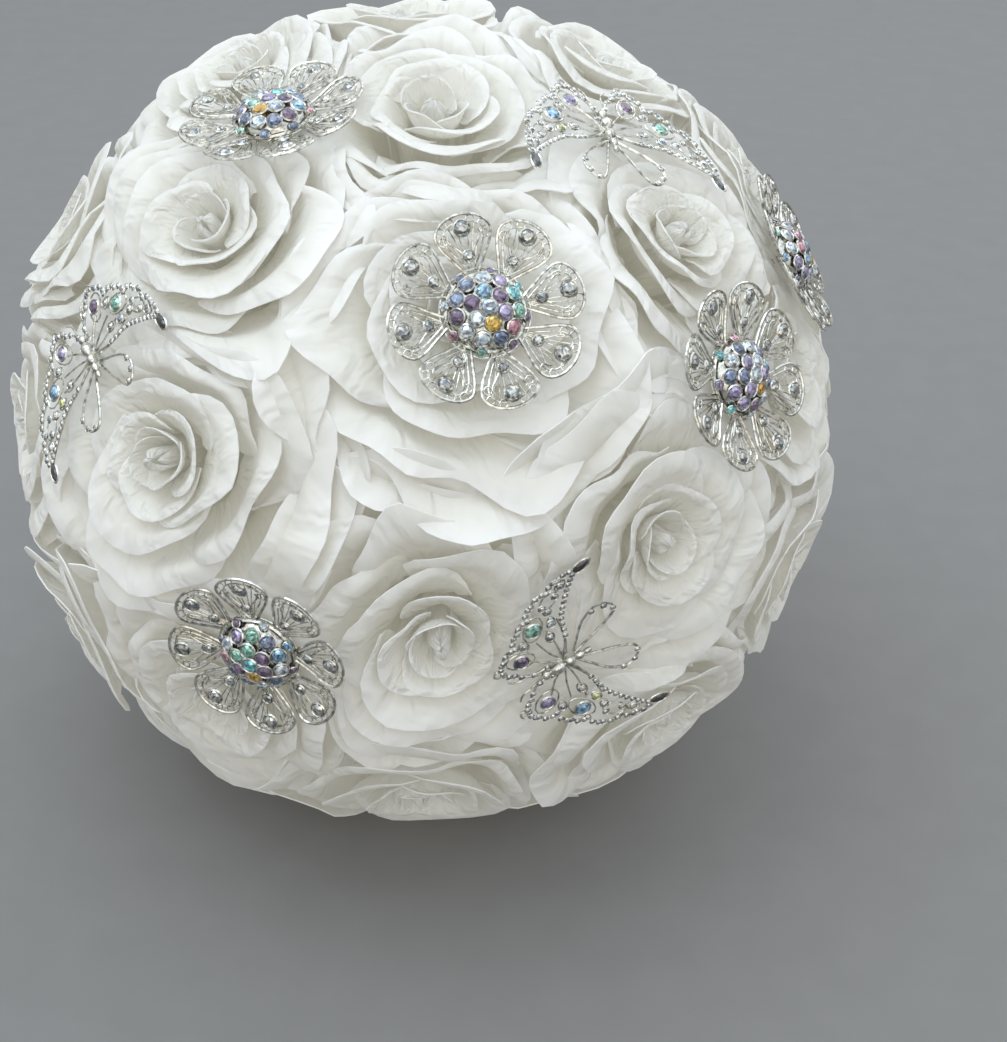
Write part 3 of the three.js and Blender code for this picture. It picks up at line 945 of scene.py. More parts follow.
@dataclass
class Rose:
    """One fabric rose, from its rolled heart to its open outer petals."""

    number: int
    ring: Ring
    heading: Heading
    openness: float
    axes: OutwardFrame = field(init=False)

    def __post_init__(self) -> None:
        """Works out the axes that the rose stands in."""
        self.axes = OutwardFrame.of(self.heading)

    def share(self, side: Array) -> Array:
        """How far the rose may spread to each side, as a share of the distance out.

        Args:
            side: unit vectors away from the rose's axis.

        Returns:
            The shares, with the corners of the rose's cell rounded.
        """
        others = np.array([rose.axes.outward for rose in ROSES if rose.number != self.number])
        lean = side @ others.T
        gap = 1.0 - others @ self.axes.outward
        limits = np.where(lean > 1e-3, gap / np.maximum(lean, 1e-3), 9.0)
        together = np.sum(limits**-CORNER_SOFTNESS, axis=-1) + MOST_SPREAD**-CORNER_SOFTNESS
        return CORNER_REACH * together ** (-1.0 / CORNER_SOFTNESS)

    def roomiest(self) -> float:
        """The angle round the rose at which it may spread the furthest."""
        angles = np.arange(48) * math.pi / 24
        return float(angles[np.argmax(self.share(self.axes.around(angles)))])

    def placed(self, radius: Array, side: Array, share: Array, distance: Array) -> Array:
        """Places points out from the ball's middle, kept to the rose's cell and off the table.

        Args:
            radius: distances from the rose's axis in a round rose.
            side: unit vectors away from the axis.
            share: how far the rose may spread that way, as a share of the distance out.
            distance: distances out along the axis.

        Returns:
            The points.
        """
        outward = self.axes.outward
        outer = np.clip(radius / NOMINAL_CELL, 0.0, 1.15) ** 2
        fitted = radius * (1.0 + (share * distance / NOMINAL_CELL - 1.0) * outer)
        spread = eased(fitted, share * distance, 1.0, 1.22)
        room = (HEAD_HEIGHT + distance * outward[2]) / np.maximum(-side[..., 2], 1e-6)
        held = np.minimum(spread, eased(spread, np.maximum(room, 1.0), 0.9, 1.1))
        spread = np.where(side[..., 2] < 0, held, spread)
        return distance[..., None] * outward + spread[..., None] * side

    def points(self, radius: Array, angle: Array, height: Array) -> Array:
        """Places points of the rose, kept to its cell, the brooches, the ball and the table.

        Args:
            radius: distances from the rose's axis in a round rose.
            angle: angles round it.
            height: heights above the rose's foot.

        Returns:
            The points, in millimetres from the ball's middle.
        """
        side = self.axes.around(angle)
        share = self.share(side)
        along = ROSE_FOOT + height
        for seat in (*FLOWER_SEATS, *BUTTERFLY_SEATS):
            normal, centre = seat.axes.outward, seat.centre
            facing = float(self.axes.outward @ normal)
            if facing < FACING_PRESS:
                continue
            here = self.placed(radius, side, share, along)
            rise = here @ normal
            away = here - centre
            lateral = np.linalg.norm(away - (away @ normal)[..., None] * normal, axis=-1)
            free = np.maximum(0.0, lateral - seat.reach) * PRESS_SLOPE
            limit = centre @ normal - PRESS_CLEARANCE + free
            along = along - (rise - eased(rise, limit, 0.95, 0.995)) / facing
        points = self.placed(radius, side, share, along)
        far = np.linalg.norm(points, axis=-1)
        return points * (1.0 - 0.5 * np.maximum(far - BALL_RADIUS, 0.0) / far)[..., None]

    def petal(
        self, whorl: Whorl, across: Array, up: Array, middle: float, chance: Chance
    ) -> Array:
        """Shapes one petal.

        Args:
            whorl: the petal's whorl.
            across: places across it, from -1 to 1.
            up: places from its root to the edge of its lip, from 0 to 1.
            middle: the angle of its middle round the rose.
            chance: its share of chance.

        Returns:
            The points.
        """
        body = np.clip(up / PETAL.body, 0.0, 1.0)
        lip = np.clip((up - PETAL.body) / (1.0 - PETAL.body), 0.0, 1.0)
        half = whorl.width * math.pi / whorl.count * (1.0 + PETAL.width_chance * chance.width)
        opened = np.sin(np.minimum(up / PETAL.widest, 1.0) * math.pi / 2)
        angle = middle + half * across * (PETAL.waist + (1.0 - PETAL.waist) * opened)
        skewed = across + PETAL.skew_chance * chance.skew * (1.0 - across**2)
        crest = 1.0 - PETAL.dip * np.abs(skewed) ** PETAL.dip_power
        radius, height, rake = self.body(whorl, body * crest, chance)
        out, rise = self.lip(whorl, across, skewed, rake, lip, chance)
        radius, height = radius + out, height + rise
        radius = radius + whorl.roll * np.abs(across) ** 3 * body**2
        phase = math.pi * chance.phase
        wave = np.sin(math.pi * (1.7 + 0.5 * chance.waves) * across + phase)
        wrinkle = np.sin(math.pi * (3.3 + chance.turn) * across + 3 * phase + 2.0 * up)
        wave = wave * (0.35 * body**3 + 0.65 * lip) + PETAL.wrinkle * wrinkle * up**2
        radius = radius * (1.0 + whorl.lean * across) + whorl.ripple * wave
        height = height + PETAL.slant_chance * chance.wider * across * up
        flutter = np.cos(math.pi * 2.3 * across + 2 * phase)
        height = height + 0.8 * whorl.ripple * flutter * up**3
        return self.settled(whorl, radius, angle, height, body)

    def body(self, whorl: Whorl, place: Array, chance: Chance) -> tuple[Array, Array, float]:
        """The part of a petal below its lip: it clings to the petals inside it, then bows out.

        Args:
            whorl: the whorl.
            place: places from the root, 0, to the lip, 1.
            chance: the petal's share of chance.

        Returns:
            Distances from the rose's axis, heights above its foot, and the angle from the axis
            that the lip starts at.
        """
        opening = whorl.opens * (self.openness - PLAIN_OPENNESS)
        radius = (whorl.radius + opening) * (1.0 + PETAL.radius_chance * chance.wider)
        top = whorl.height - PETAL.give * opening + PETAL.height_chance * chance.taller
        tuck, low = whorl.tuck + PETAL.give * opening, top - whorl.depth
        quarter = np.clip(place / PETAL.knee, 0.0, 1.0) * math.pi / 2
        rise = np.clip((place - PETAL.knee) / (1.0 - PETAL.knee), 0.0, 1.0)
        elbow = tuck + PETAL.elbow[0] * (radius - tuck)
        knuckle = top - PETAL.elbow[1] * whorl.depth
        bowed = (1 - rise) ** 2 * tuck + 2 * rise * (1 - rise) * elbow + rise**2 * radius
        raised = (1 - rise) ** 2 * low + 2 * rise * (1 - rise) * knuckle + rise**2 * top
        clinging = whorl.root + (tuck - whorl.root) * np.sin(quarter)
        climbing = whorl.foot + (low - whorl.foot) * (1.0 - np.cos(quarter))
        out = np.where(place < PETAL.knee, clinging, bowed)
        height = np.where(place < PETAL.knee, climbing, raised)
        return out, height, math.atan2(radius - elbow, top - knuckle)

    @staticmethod
    def lip(
        whorl: Whorl, across: Array, skewed: Array, rake: float, lip: Array, chance: Chance
    ) -> tuple[Array, Array]:
        """The turned lip of a petal: an arc that is longest, and may be pinched, near its middle.

        Args:
            whorl: the whorl.
            across: places across the petal, from -1 to 1.
            skewed: the same, with the lip's crown moved to one side.
            rake: the angle from the rose's axis that the lip starts at.
            lip: places from the lip's start, 0, to its edge, 1.
            chance: the petal's share of chance.

        Returns:
            How far the lip goes out and up.
        """
        fold = across - PETAL.fold_chance * chance.fold
        pinch = 0.5 + 0.5 * chance.pinch
        uncurl = pinch * PETAL.uncurl * np.exp(-((fold / PETAL.fold_width) ** 2))
        bend = math.radians(whorl.curl) * (1.0 + PETAL.curl_chance * chance.curl)
        bend = bend * (1.0 - uncurl) + PETAL.side_curl * across**2
        turned = rake + (bend - rake) * lip
        swing = np.where(np.abs(bend - rake) < 1e-3, 1e-3, bend - rake)
        rounded = np.maximum(1.0 - skewed**2, 0.0) ** 0.75
        pointed = 1.3 * np.maximum(1.0 - 0.8 * np.abs(fold), 0.0) ** 1.15
        crown = rounded + 0.9 * pinch * (pointed - rounded)
        crescent = PETAL.crescent + (1.0 - PETAL.crescent) * crown
        length = whorl.lip * (1.0 + PETAL.length_chance * chance.length) * crescent
        length = length + 0.6 * whorl.tip * pinch * np.exp(-np.abs(fold) / PETAL.tip_width)
        out = length * (np.cos(rake) - np.cos(turned)) / swing
        return out, length * (np.sin(turned) - np.sin(rake)) / swing

    def settled(
        self, whorl: Whorl, radius: Array, angle: Array, height: Array, body: Array
    ) -> Array:
        """Makes a petal as uneven as the rose, lets it droop and sets its heart to one side.

        Args:
            whorl: the petal's whorl.
            radius: distances from the rose's axis.
            angle: angles round it.
            height: heights above the rose's foot.
            body: places from the petal's root, 0, to its lip, 1.

        Returns:
            The points.
        """
        twofold = np.sin(2 * angle + self.number + 0.05 * whorl.radius)
        threefold = np.sin(3 * angle + 2.3 * self.number - 0.08 * whorl.radius)
        uneven = PETAL.lobes[0] * twofold + PETAL.lobes[1] * threefold
        radius = radius * (1.0 + uneven * body)
        droop = DROOP[self.ring] * np.clip(radius / NOMINAL_CELL, 0.0, 1.1) ** 3
        height = height + PROUD * math.sin(HEIGHT_CYCLE * self.number) - droop
        aside = HEART_SHIFT * np.clip(1.0 - (radius / NOMINAL_CELL) ** 2, 0.0, 1.0)
        x = radius * np.cos(angle) + aside * math.cos(HEART_CYCLE * self.number)
        y = radius * np.sin(angle) + aside * math.sin(HEART_CYCLE * self.number)
        return self.points(np.hypot(x, y), np.arctan2(y, x), height)

    def build(self) -> Item:
        """Models the rose: flat blanks for the heart and the open petals, shaped and thickened.

        Returns:
            The rose's mesh object.
        """
        random = np.random.default_rng(1000 + self.number)
        start = random.uniform(0.0, FULL_TURN)
        parts = []
        groups = (WHORLS[:HEART_WHORLS], WHORLS[HEART_WHORLS:])
        for whorls, grid in zip(groups, GRIDS_OF[self.ring]):
            item, across, up = lay_sheets(sum(whorl.count for whorl in whorls), *grid)
            petals = []
            for whorl in whorls:
                if whorl is WHORLS[-1]:
                    start = self.roomiest()
                elif whorl is WHORLS[-2]:
                    start = self.roomiest() + math.pi / WHORLS[-1].count
                for index in range(whorl.count):
                    chance = Chance(*random.uniform(-1.0, 1.0, len(Chance._fields)))
                    middle = start + FULL_TURN * index / whorl.count
                    middle = middle + PETAL.turn_chance * chance.turn
                    petals.append(self.petal(whorl, across, up, middle, chance))
                start += math.pi / whorl.count + PETAL.twist
            points = np.concatenate(petals)
            points[:, 2] = np.maximum(points[:, 2], PETAL.clearance - HEAD_HEIGHT)
            set_points(item, to_row(points))
            parts.append(item)
        item = join(f"rose_{self.number:02d}_bloom", parts)
        thicken(item, PETAL.thickness)
        lift_to_table(item)
        shade_smooth(item, 60.0)
        return item


def all_roses() -> list[Rose]:
    """Lists the roses in the order of their CAD nodes.

    Returns:
        The roses.
    """
    made = []
    for ring, rows in ROSE_HEADINGS.items():
        for tilt, turn, openness in rows:
            made.append(Rose(len(made) + 1, ring, Heading(tilt, turn), openness))
    return made


ROSES = all_roses()


# Stems and handle


@dataclass
class StemBundle:
    """The wired stems, each with a calyx under its rose, bound into one handle."""

    radius: float = 2.0
    calyx_length: float = 12.0
    straight_from: float = 150.0
    rings: tuple[tuple[int, float], ...] = ((1, 0.0), (5, 4.1), (10, 7.9), (15, 11.4))
    cup: Pairs = ((2.1, -14.0), (3.0, -12.0), (5.6, -7.5), (7.2, -3.0), (7.4, 0.0), (4.0, 2.5))
    cup_sides: int = 9
    sepals: int = 5
    sepal_width: float = 4.6
    sepal_start: tuple[float, float] = (6.4, -5.0)
    sepal_reach: float = 15.0
    sepal_thickness: float = 0.6

    def places(self) -> dict[int, Array]:
        """Shares the places in the bound bundle among the roses.

        Returns:
            For each rose's number, its x and y in the bundle.
        """
        waiting = sorted(ROSES, key=lambda rose: rose.heading.tilt)
        found: dict[int, Array] = {}
        for count, radius in self.rings:
            group = sorted(waiting[:count], key=lambda rose: rose.heading.turn)
            waiting = waiting[count:]
            for index, rose in enumerate(group):
                turn = math.radians(-180 + 360 * (index + 0.5) / count)
                found[rose.number] = np.array((radius * math.cos(turn), radius * math.sin(turn)))
        return found

    def stem_line(self, rose: Rose, place: Array) -> Array:
        """Draws one stem, from its calyx to its cut end.

        Args:
            rose: the stem's rose.
            place: its x and y in the bundle.

        Returns:
            The points of its line.
        """
        across = RIGHT * place[0] + UP * place[1]
        top = rose.axes.outward * (ROSE_FOOT - self.calyx_length)
        bound = across - AXIS * BINDING_DISTANCE
        free = [top + (bound - top) * t for t in (0.0, 0.25, 0.5, 0.75)]
        below = (BINDING_DISTANCE + 6, self.straight_from, HANDLE_END - 0.6)
        return curve_through([*free, bound, *(across - AXIS * far for far in below)], 2)

    def build(self) -> Item:
        """Models the stems, calyxes and sepals.

        Returns:
            One mesh object.
        """
        places = self.places()
        wires = [Wire(self.stem_line(rose, places[rose.number]), self.radius) for rose in ROSES]
        parts = [wire_mesh("stems", wires, resolution=2)]
        parts += [join("calyx", [self.calyx(rose), self.leaves(rose)]) for rose in ROSES]
        item = join("stem_bundle_wired", parts)
        lift_to_table(item)
        shade_smooth(item, 45.0)
        return item

    def calyx(self, rose: Rose) -> Item:
        """Models the cup under a rose.

        Args:
            rose: the rose.

        Returns:
            A mesh object.
        """
        item, across, up = lay_sheets(1, self.cup_sides, len(self.cup) - 1)
        level = np.rint(up * (len(self.cup) - 1)).astype(int)
        radius, height = np.array(self.cup)[level].T
        side = rose.axes.around((across + 1.0) * math.pi)
        along = ROSE_FOOT + height
        set_points(item, to_row(along[:, None] * rose.axes.outward + radius[:, None] * side))
        edit(item)
        bpy.ops.mesh.remove_doubles(threshold=1e-5)
        bpy.ops.mesh.fill_holes(sides=0)
        bpy.ops.mesh.normals_make_consistent(inside=False)
        return item

    def leaves(self, rose: Rose) -> Item:
        """Models the sepals that clasp a rose.

        Args:
            rose: the rose.

        Returns:
            A mesh object.
        """
        item, across, up = lay_sheets(self.sepals, 2, 5)
        width = self.sepal_width * np.sin(np.clip(0.12 + 0.88 * up, 0, 1) * math.pi) + 0.3
        radius = self.sepal_start[0] + self.sepal_reach * up**1.2
        height = self.sepal_start[1] + self.sepal_reach * up - 1.6 * np.abs(across)
        rows = []
        for index in range(self.sepals):
            middle = FULL_TURN * index / self.sepals + rose.number
            rows.append(rose.points(radius, middle + across * width / radius, height))
        set_points(item, to_row(np.concatenate(rows)))
        thicken(item, self.sepal_thickness)
        return item


@dataclass
class RibbonWrap:
    """The satin ribbon wound round the bundle, each turn lapped over the one before.

    Each row of creases holds a depth, and how fast the crease runs along and across the ribbon.
    """

    inner: float = 14.15
    start: float = 107.0
    bare_end: float = 9.0
    turns: float = 5.6
    lap: float = 1.45
    lap_rise: float = 1.25
    turn_rise: float = 0.12
    thickness: float = 0.45
    columns: int = 150
    rows: int = 5
    creases: tuple[Triple, ...] = ((0.12, 23.0, 4.0), (0.10, 41.0, -7.0))

    def build(self) -> Item:
        """Models the wound ribbon from one flat strip.

        Returns:
            The ribbon's mesh object.
        """
        end = HANDLE_END - self.bare_end
        item, along, across = lay_sheets(1, self.columns, self.rows)
        item.name = item.data.name = "ribbon_wrap_satin"
        turn = (along + 1.0) / 2.0 * self.turns
        pitch = (end - self.start) / (self.turns - 1.0)
        distance = self.start + (turn - 1.0 + across * self.lap) * pitch
        distance = np.clip(distance, self.start, end)
        crease = sum(
            depth * np.sin(turn * fast + across * over) for depth, fast, over in self.creases
        )
        radius = self.inner + self.lap_rise * across + self.turn_rise * (self.turns - turn)
        radius = radius + crease * across
        points = radius[:, None] * BOUQUET.around(FULL_TURN * turn) - distance[:, None] * AXIS
        points[:, 2] = np.maximum(points[:, 2], 0.3 - HEAD_HEIGHT)
        set_points(item, to_row(points))
        thicken(item, self.thickness)
        shade_smooth(item, 50.0)
        return item


# Stones


@dataclass(frozen=True)
class Stamp:
    """A small shape that is modelled once and copied many times."""

    vertices: Array
    faces: tuple[tuple[int, ...], ...]

    @classmethod
    def taken_from(cls, item: Item) -> "Stamp":
        """Keeps an object's shape as a stamp and removes the object.

        Args:
            item: the mesh object.

        Returns:
            The stamp.
        """
        stamp = cls(get_points(item), tuple(tuple(face.vertices) for face in item.data.polygons))
        bpy.data.objects.remove(item)
        return stamp


@dataclass(frozen=True)
class StoneSpot:
    """A stone: its middle and the way it faces in the brooch's millimetres, its size and tint."""

    centre: Triple
    facing: Triple
    radius: float
    tint: Triple
    heading: float
    stretch: float = 1.0

    def basis(self) -> Array:
        """Works out the stone's own axes.

        Returns:
            Its x, y and z as rows, the last along its facing and the first near its heading.
        """
        third = np.asarray(self.facing, float)
        third = third / np.linalg.norm(third)
        guide = np.array((math.cos(self.heading), math.sin(self.heading), 0.0))
        first = guide - (guide @ third) * third
        first = first / np.linalg.norm(first)
        return np.array((first, np.cross(third, first), third))


def cut_stone() -> Stamp:
    """Models a round cut stone: girdle, two belts of facets, table and pavilion.

    Returns:
        The stone, 1 across from middle to girdle, its table facing up.
    """
    deselect()
    bpy.ops.mesh.primitive_circle_add(vertices=8, radius=1.0, fill_type="NGON")
    item = active()
    middle = (0.0, 0.0, 0.0)
    edit(item)
    for rise, shrink in ((0.26, 0.82), (0.20, 0.62)):
        bpy.ops.mesh.extrude_region_move(TRANSFORM_OT_translate={"value": (0.0, 0.0, rise)})
        bpy.ops.transform.resize(value=(shrink, shrink, 1.0), center_override=middle)
        bpy.ops.transform.rotate(value=math.pi / 8, orient_axis="Z", center_override=middle)
    bpy.ops.mesh.select_mode(type="FACE")
    bpy.ops.object.mode_set(mode="OBJECT")
    for face in item.data.polygons:
        face.select = face.normal.z < -0.9
    bpy.ops.object.mode_set(mode="EDIT")
    bpy.ops.mesh.extrude_region_move(TRANSFORM_OT_translate={"value": (0.0, 0.0, -0.45)})
    bpy.ops.transform.resize(value=(0.25, 0.25, 1.0), center_override=middle)
    bpy.ops.mesh.select_all(action="SELECT")
    bpy.ops.mesh.quads_convert_to_tris()
    bpy.ops.mesh.normals_make_consistent(inside=False)
    deselect()
    return Stamp.taken_from(item)


def setting_ring() -> Stamp:
    """Models the ring that a stone is set in.

    Returns:
        The ring, for a stone 1 across from middle to girdle.
    """
    deselect()
    bpy.ops.mesh.primitive_torus_add(
        major_segments=12, minor_segments=4, major_radius=1.06, minor_radius=0.15
    )
    return Stamp.taken_from(active())


def stamped(
    name: str, stamp: Stamp, spots: list[StoneSpot], seat: Seat, random: np.random.Generator
) -> Item:
    """Copies a stamp to many places in one mesh, with each stone's tint painted lighter or darker
    facet by facet in place of reflections.

    Args:
        name: the new object's name.
        stamp: the shape.
        spots: where it goes.
        seat: the brooch's seat.
        random: the source of the facets' painted light and shade.

    Returns:
        The mesh object.
    """
    vertices, faces, tints = [], [], []
    for index, spot in enumerate(spots):
        local = stamp.vertices * spot.radius * np.array((spot.stretch, 1.0, 1.0))
        vertices.append(seat.put(local @ spot.basis() + np.array(spot.centre)))
        for face in stamp.faces:
            faces.append(tuple(corner + index * len(local) for corner in face))
            # painted facet light and shade: each facet's tint is scaled at random in place of
            # bright and dark reflections
            shade = np.clip(np.array(spot.tint) * random.uniform(0.15, 1.55), 0.0, 1.0)
            tints += [(*shade, 1.0)] * len(face)
    mesh = bpy.data.meshes.new(name)
    mesh.from_pydata(to_row(np.concatenate(vertices)).tolist(), [], faces)
    layer = mesh.color_attributes.new("tint", "FLOAT_COLOR", "CORNER")
    layer.data.foreach_set("color", np.array(tints, np.float32).ravel())
    mesh.color_attributes.active_color = layer
    return linked(name, mesh)


class Tint(Enum):
    """Tints of the stones, with a rainbow coating on all but the first three."""

    CLEAR = (0.56, 0.55, 0.49)
    BRIGHT = (0.68, 0.67, 0.62)
    SMOKE = (0.05, 0.055, 0.05)
    ICE = (0.74, 0.84, 0.88)
    AQUA = (0.24, 0.80, 0.82)
    SKY = (0.28, 0.52, 0.74)
    SLATE = (0.15, 0.20, 0.32)
    LILAC = (0.38, 0.31, 0.50)
    PLUM = (0.20, 0.12, 0.22)
    ROSE = (0.66, 0.26, 0.32)
    MINT = (0.30, 0.66, 0.48)
    AMBER = (1.0, 0.48, 0.05)
    LIME = (0.76, 0.82, 0.26)


COATED = (
    Tint.ICE, Tint.AQUA, Tint.SKY, Tint.SLATE, Tint.LILAC, Tint.PLUM, Tint.ROSE, Tint.MINT,
    Tint.SKY, Tint.LILAC, Tint.SLATE, Tint.ICE,
)


# Brooches


@dataclass
class Jeweller:
    """What all the brooches share: the stamps and the finishes."""

    stone: Stamp
    ring: Stamp
    silver: bpy.types.Material
    clear: bpy.types.Material
    coated: bpy.types.Material


class Stones(NamedTuple):
    """A brooch's stones by kind."""

    clear: list[StoneSpot]
    coated: list[StoneSpot]
    smoky: list[StoneSpot]


@dataclass
class Brooch(ABC):
    """A wired silver brooch set with cut stones, held by a pin."""

    seat: Seat
    tools: Jeweller
    pin: Triple = (0.0, -17.0, -34.0)
    pin_radius: float = 1.0
    coated_name: str = "wing_stones"
    coated_replaces: tuple[str, ...] = ()

    @abstractmethod
    def wires(self) -> list[Wire]:
        """All the wires but the pin."""

    @abstractmethod
    def spots(self, random: np.random.Generator) -> Stones:
        """Where the stones sit."""

    @abstractmethod
    def solids(self) -> list[Item]:
        """Models the silver parts that aren't wires."""

    def build(self) -> None:
        """Models the silverwork, the plain stones and the coated ones, and dresses them."""
        name, tools = self.seat.name, self.tools
        random = np.random.default_rng(sum(map(ord, name)))
        pin = Wire(np.array([(0.0, 0.0, z) for z in self.pin]), self.pin_radius, False, (1.0, 0.5))
        stones = self.spots(random)
        parts = [
            wire_mesh("wirework", [*self.wires(), pin], self.seat),
            *self.solids(),
            stamped("rings", tools.ring, sum(stones, []), self.seat, random),
        ]
        silver = join(f"{name}_silverwork", parts)
        shade_smooth(silver, 40.0)
        finish_piece(silver, tools.silver, (name,))
        for kind, spots, finish, replaces in (
            ("rhinestones", stones.clear + stones.smoky, tools.clear, ()),
            (self.coated_name, stones.coated, tools.coated, self.coated_replaces),
        ):
            piece = stamped(f"{name}_{kind}", tools.stone, spots, self.seat, random)
            finish_piece(piece, finish, tuple(name + ending for ending in replaces))


@dataclass
class FlowerBrooch(Brooch):
    """A wired flower of eight looped petals with a domed cluster of crystals.

    Lengths along a petal are shares of the radius, and angles are degrees from its middle. rings
    holds radius, height and wire; petal_stones share and size; dome_stones a ring's count, radius,
    height, lean and stone size.
    """

    coated_name: str = "dome_stones"
    coated_replaces: tuple[str, ...] = ("_crystals",)
    radius: float = 27.0
    petals: int = 8
    rim_wire: float = 0.46
    inner_wire: float = 0.27
    lace_wire: float = 0.19
    outline: Pairs = (
        (0.34, 0.0), (0.44, 9.5), (0.58, 15.5), (0.74, 19.5), (0.88, 19.0), (0.965, 12.5),
        (1.0, 4.0),
    )
    fan: tuple[float, ...] = (-13.0, -8.5, -4.0, 4.0, 8.5, 13.0)
    eyes: Pairs = (
        (-15.5, 0.80), (-14.0, 0.90), (-6.5, 0.945), (6.5, 0.945), (14.0, 0.90), (15.5, 0.80),
    )
    scroll: Pairs = ((0.60, 3.0), (0.68, 8.0), (0.78, 12.5), (0.84, 11.0))
    rings: tuple[Triple, ...] = ((10.8, 0.6, 0.7), (12.4, 0.4, 0.35))
    petal_stones: Pairs = ((0.86, 2.15), (0.585, 1.55))
    dome_stones: tuple[tuple[int, float, float, float, float], ...] = (
        (1, 0.0, 6.9, 0.0, 2.3), (6, 4.5, 6.2, 0.22, 2.15), (11, 8.6, 4.3, 0.6, 2.1),
        (8, 11.3, 1.9, 0.8, 1.3),
    )
    amber_spot: tuple[int, int] = (6, 4)
    dome_size: Triple = (10.6, 10.6, 5.4)

    def polar(self, share: Array, degrees: Array, lift: float = 0.0) -> Array:
        """Places points on the flower's shallow cup.

        Args:
            share: distances from the middle, as shares of the radius.
            degrees: angles round it.
            lift: heights above the cup.

        Returns:
            The points.
        """
        radius, turn = np.asarray(share * self.radius, float), np.radians(degrees)
        rise = 0.4 + 3.0 * np.clip((radius - 10.0) / 17.0, 0.0, 1.0) ** 1.6
        return np.stack([radius * np.cos(turn), radius * np.sin(turn), rise + lift], -1)

    def loop(self, middle: float, shrink: float, steps: int) -> Array:
        """Draws one petal's loop.

        Args:
            middle: the petal's angle.
            shrink: the loop's size, from its own middle.
            steps: how many pieces each span is cut into.

        Returns:
            The points of the closed line.
        """
        back = [(share, -degrees) for share, degrees in reversed(self.outline[1:])]
        share, degrees = np.array([*self.outline, *back]).T
        share = 0.74 + (share - 0.74) * shrink
        return curve_through(self.polar(share, middle + degrees * shrink), steps, True)

    def petal_wires(self, middle: float) -> list[Wire]:
        """Draws the loops, fan, rings and scrolls of one petal.

        Args:
            middle: the petal's angle.

        Returns:
            The wires.
        """
        wires = [
            Wire(self.loop(middle, 1.0, 3), self.rim_wire, True),
            Wire(self.loop(middle, 0.76, 2), self.inner_wire, True),
        ]
        for degrees in self.fan:
            share = np.linspace(0.46, 0.925 - 0.00035 * degrees**2, 5)
            line = self.polar(share, middle + degrees * np.linspace(0.35, 1.0, 5), -0.15)
            wires.append(Wire(line, self.lace_wire))
        for degrees, share in self.eyes:
            eye = ellipse(7, 1.15, 1.15) + self.polar(share, middle + degrees)
            wires.append(Wire(eye, 0.22, True))
        share, degrees = np.array(self.scroll).T
        for side in (-1.0, 1.0):
            line = self.polar(share, middle + side * degrees, 0.5)
            wires.append(Wire(curve_through(line, 3), 0.3, False, (1.0, 0.8)))
        return wires

    def wires(self) -> list[Wire]:
        """Draws all the wires but the pin.

        Returns:
            The wires.
        """
        wires = []
        for index in range(self.petals):
            wires += self.petal_wires(360.0 * index / self.petals)
        for far, rise, thickness in self.rings:
            wires.append(Wire(ellipse(32, far, far, rise), thickness, True))
        return wires

    def spots(self, random: np.random.Generator) -> Stones:
        """Sets the clear stones of the petals and the coated ones of the dome.

        Args:
            random: the brooch's own source of chance.

        Returns:
            The stones.
        """
        clear, coated = [], []
        for index in range(self.petals):
            middle = 360.0 * index / self.petals
            turn = math.radians(middle)
            facing = (-0.18 * math.cos(turn), -0.18 * math.sin(turn), 1.0)
            for share, size in self.petal_stones:
                centre, tint = tuple(self.polar(share, middle, 0.9)), Tint.CLEAR.value
                clear.append(StoneSpot(centre, facing, size, tint, random.uniform(0, 3)))
        for count, radius, height, lean, size in self.dome_stones:
            for index in range(count):
                turn = FULL_TURN * (index + 0.5) / count
                tint = COATED[int(random.integers(len(COATED)))]
                if (count, index) == self.amber_spot:
                    tint = Tint.AMBER
                x, y = math.cos(turn), math.sin(turn)
                centre, facing = (radius * x, radius * y, height), (lean * x, lean * y, 1.0)
                coated.append(StoneSpot(centre, facing, size, tint.value, random.uniform(0, 3)))
        return Stones(clear, coated, [])

    def solids(self) -> list[Item]:
        """Models the silver dome that the crystals are set on.

        Returns:
            Its mesh object, in a list.
        """
        deselect()
        bpy.ops.mesh.primitive_uv_sphere_add(segments=18, ring_count=8, radius=1.0)
        item = active()
        edit(item)
        bpy.ops.mesh.bisect(
            plane_co=(0.0, 0.0, 0.02), plane_no=(0.0, 0.0, 1.0), use_fill=True, clear_inner=True
        )
        deselect()
        local = get_points(item) * np.array(self.dome_size) + np.array((0.0, 0.0, 0.3))
        set_points(item, to_row(self.seat.put(local)))
        return [item]


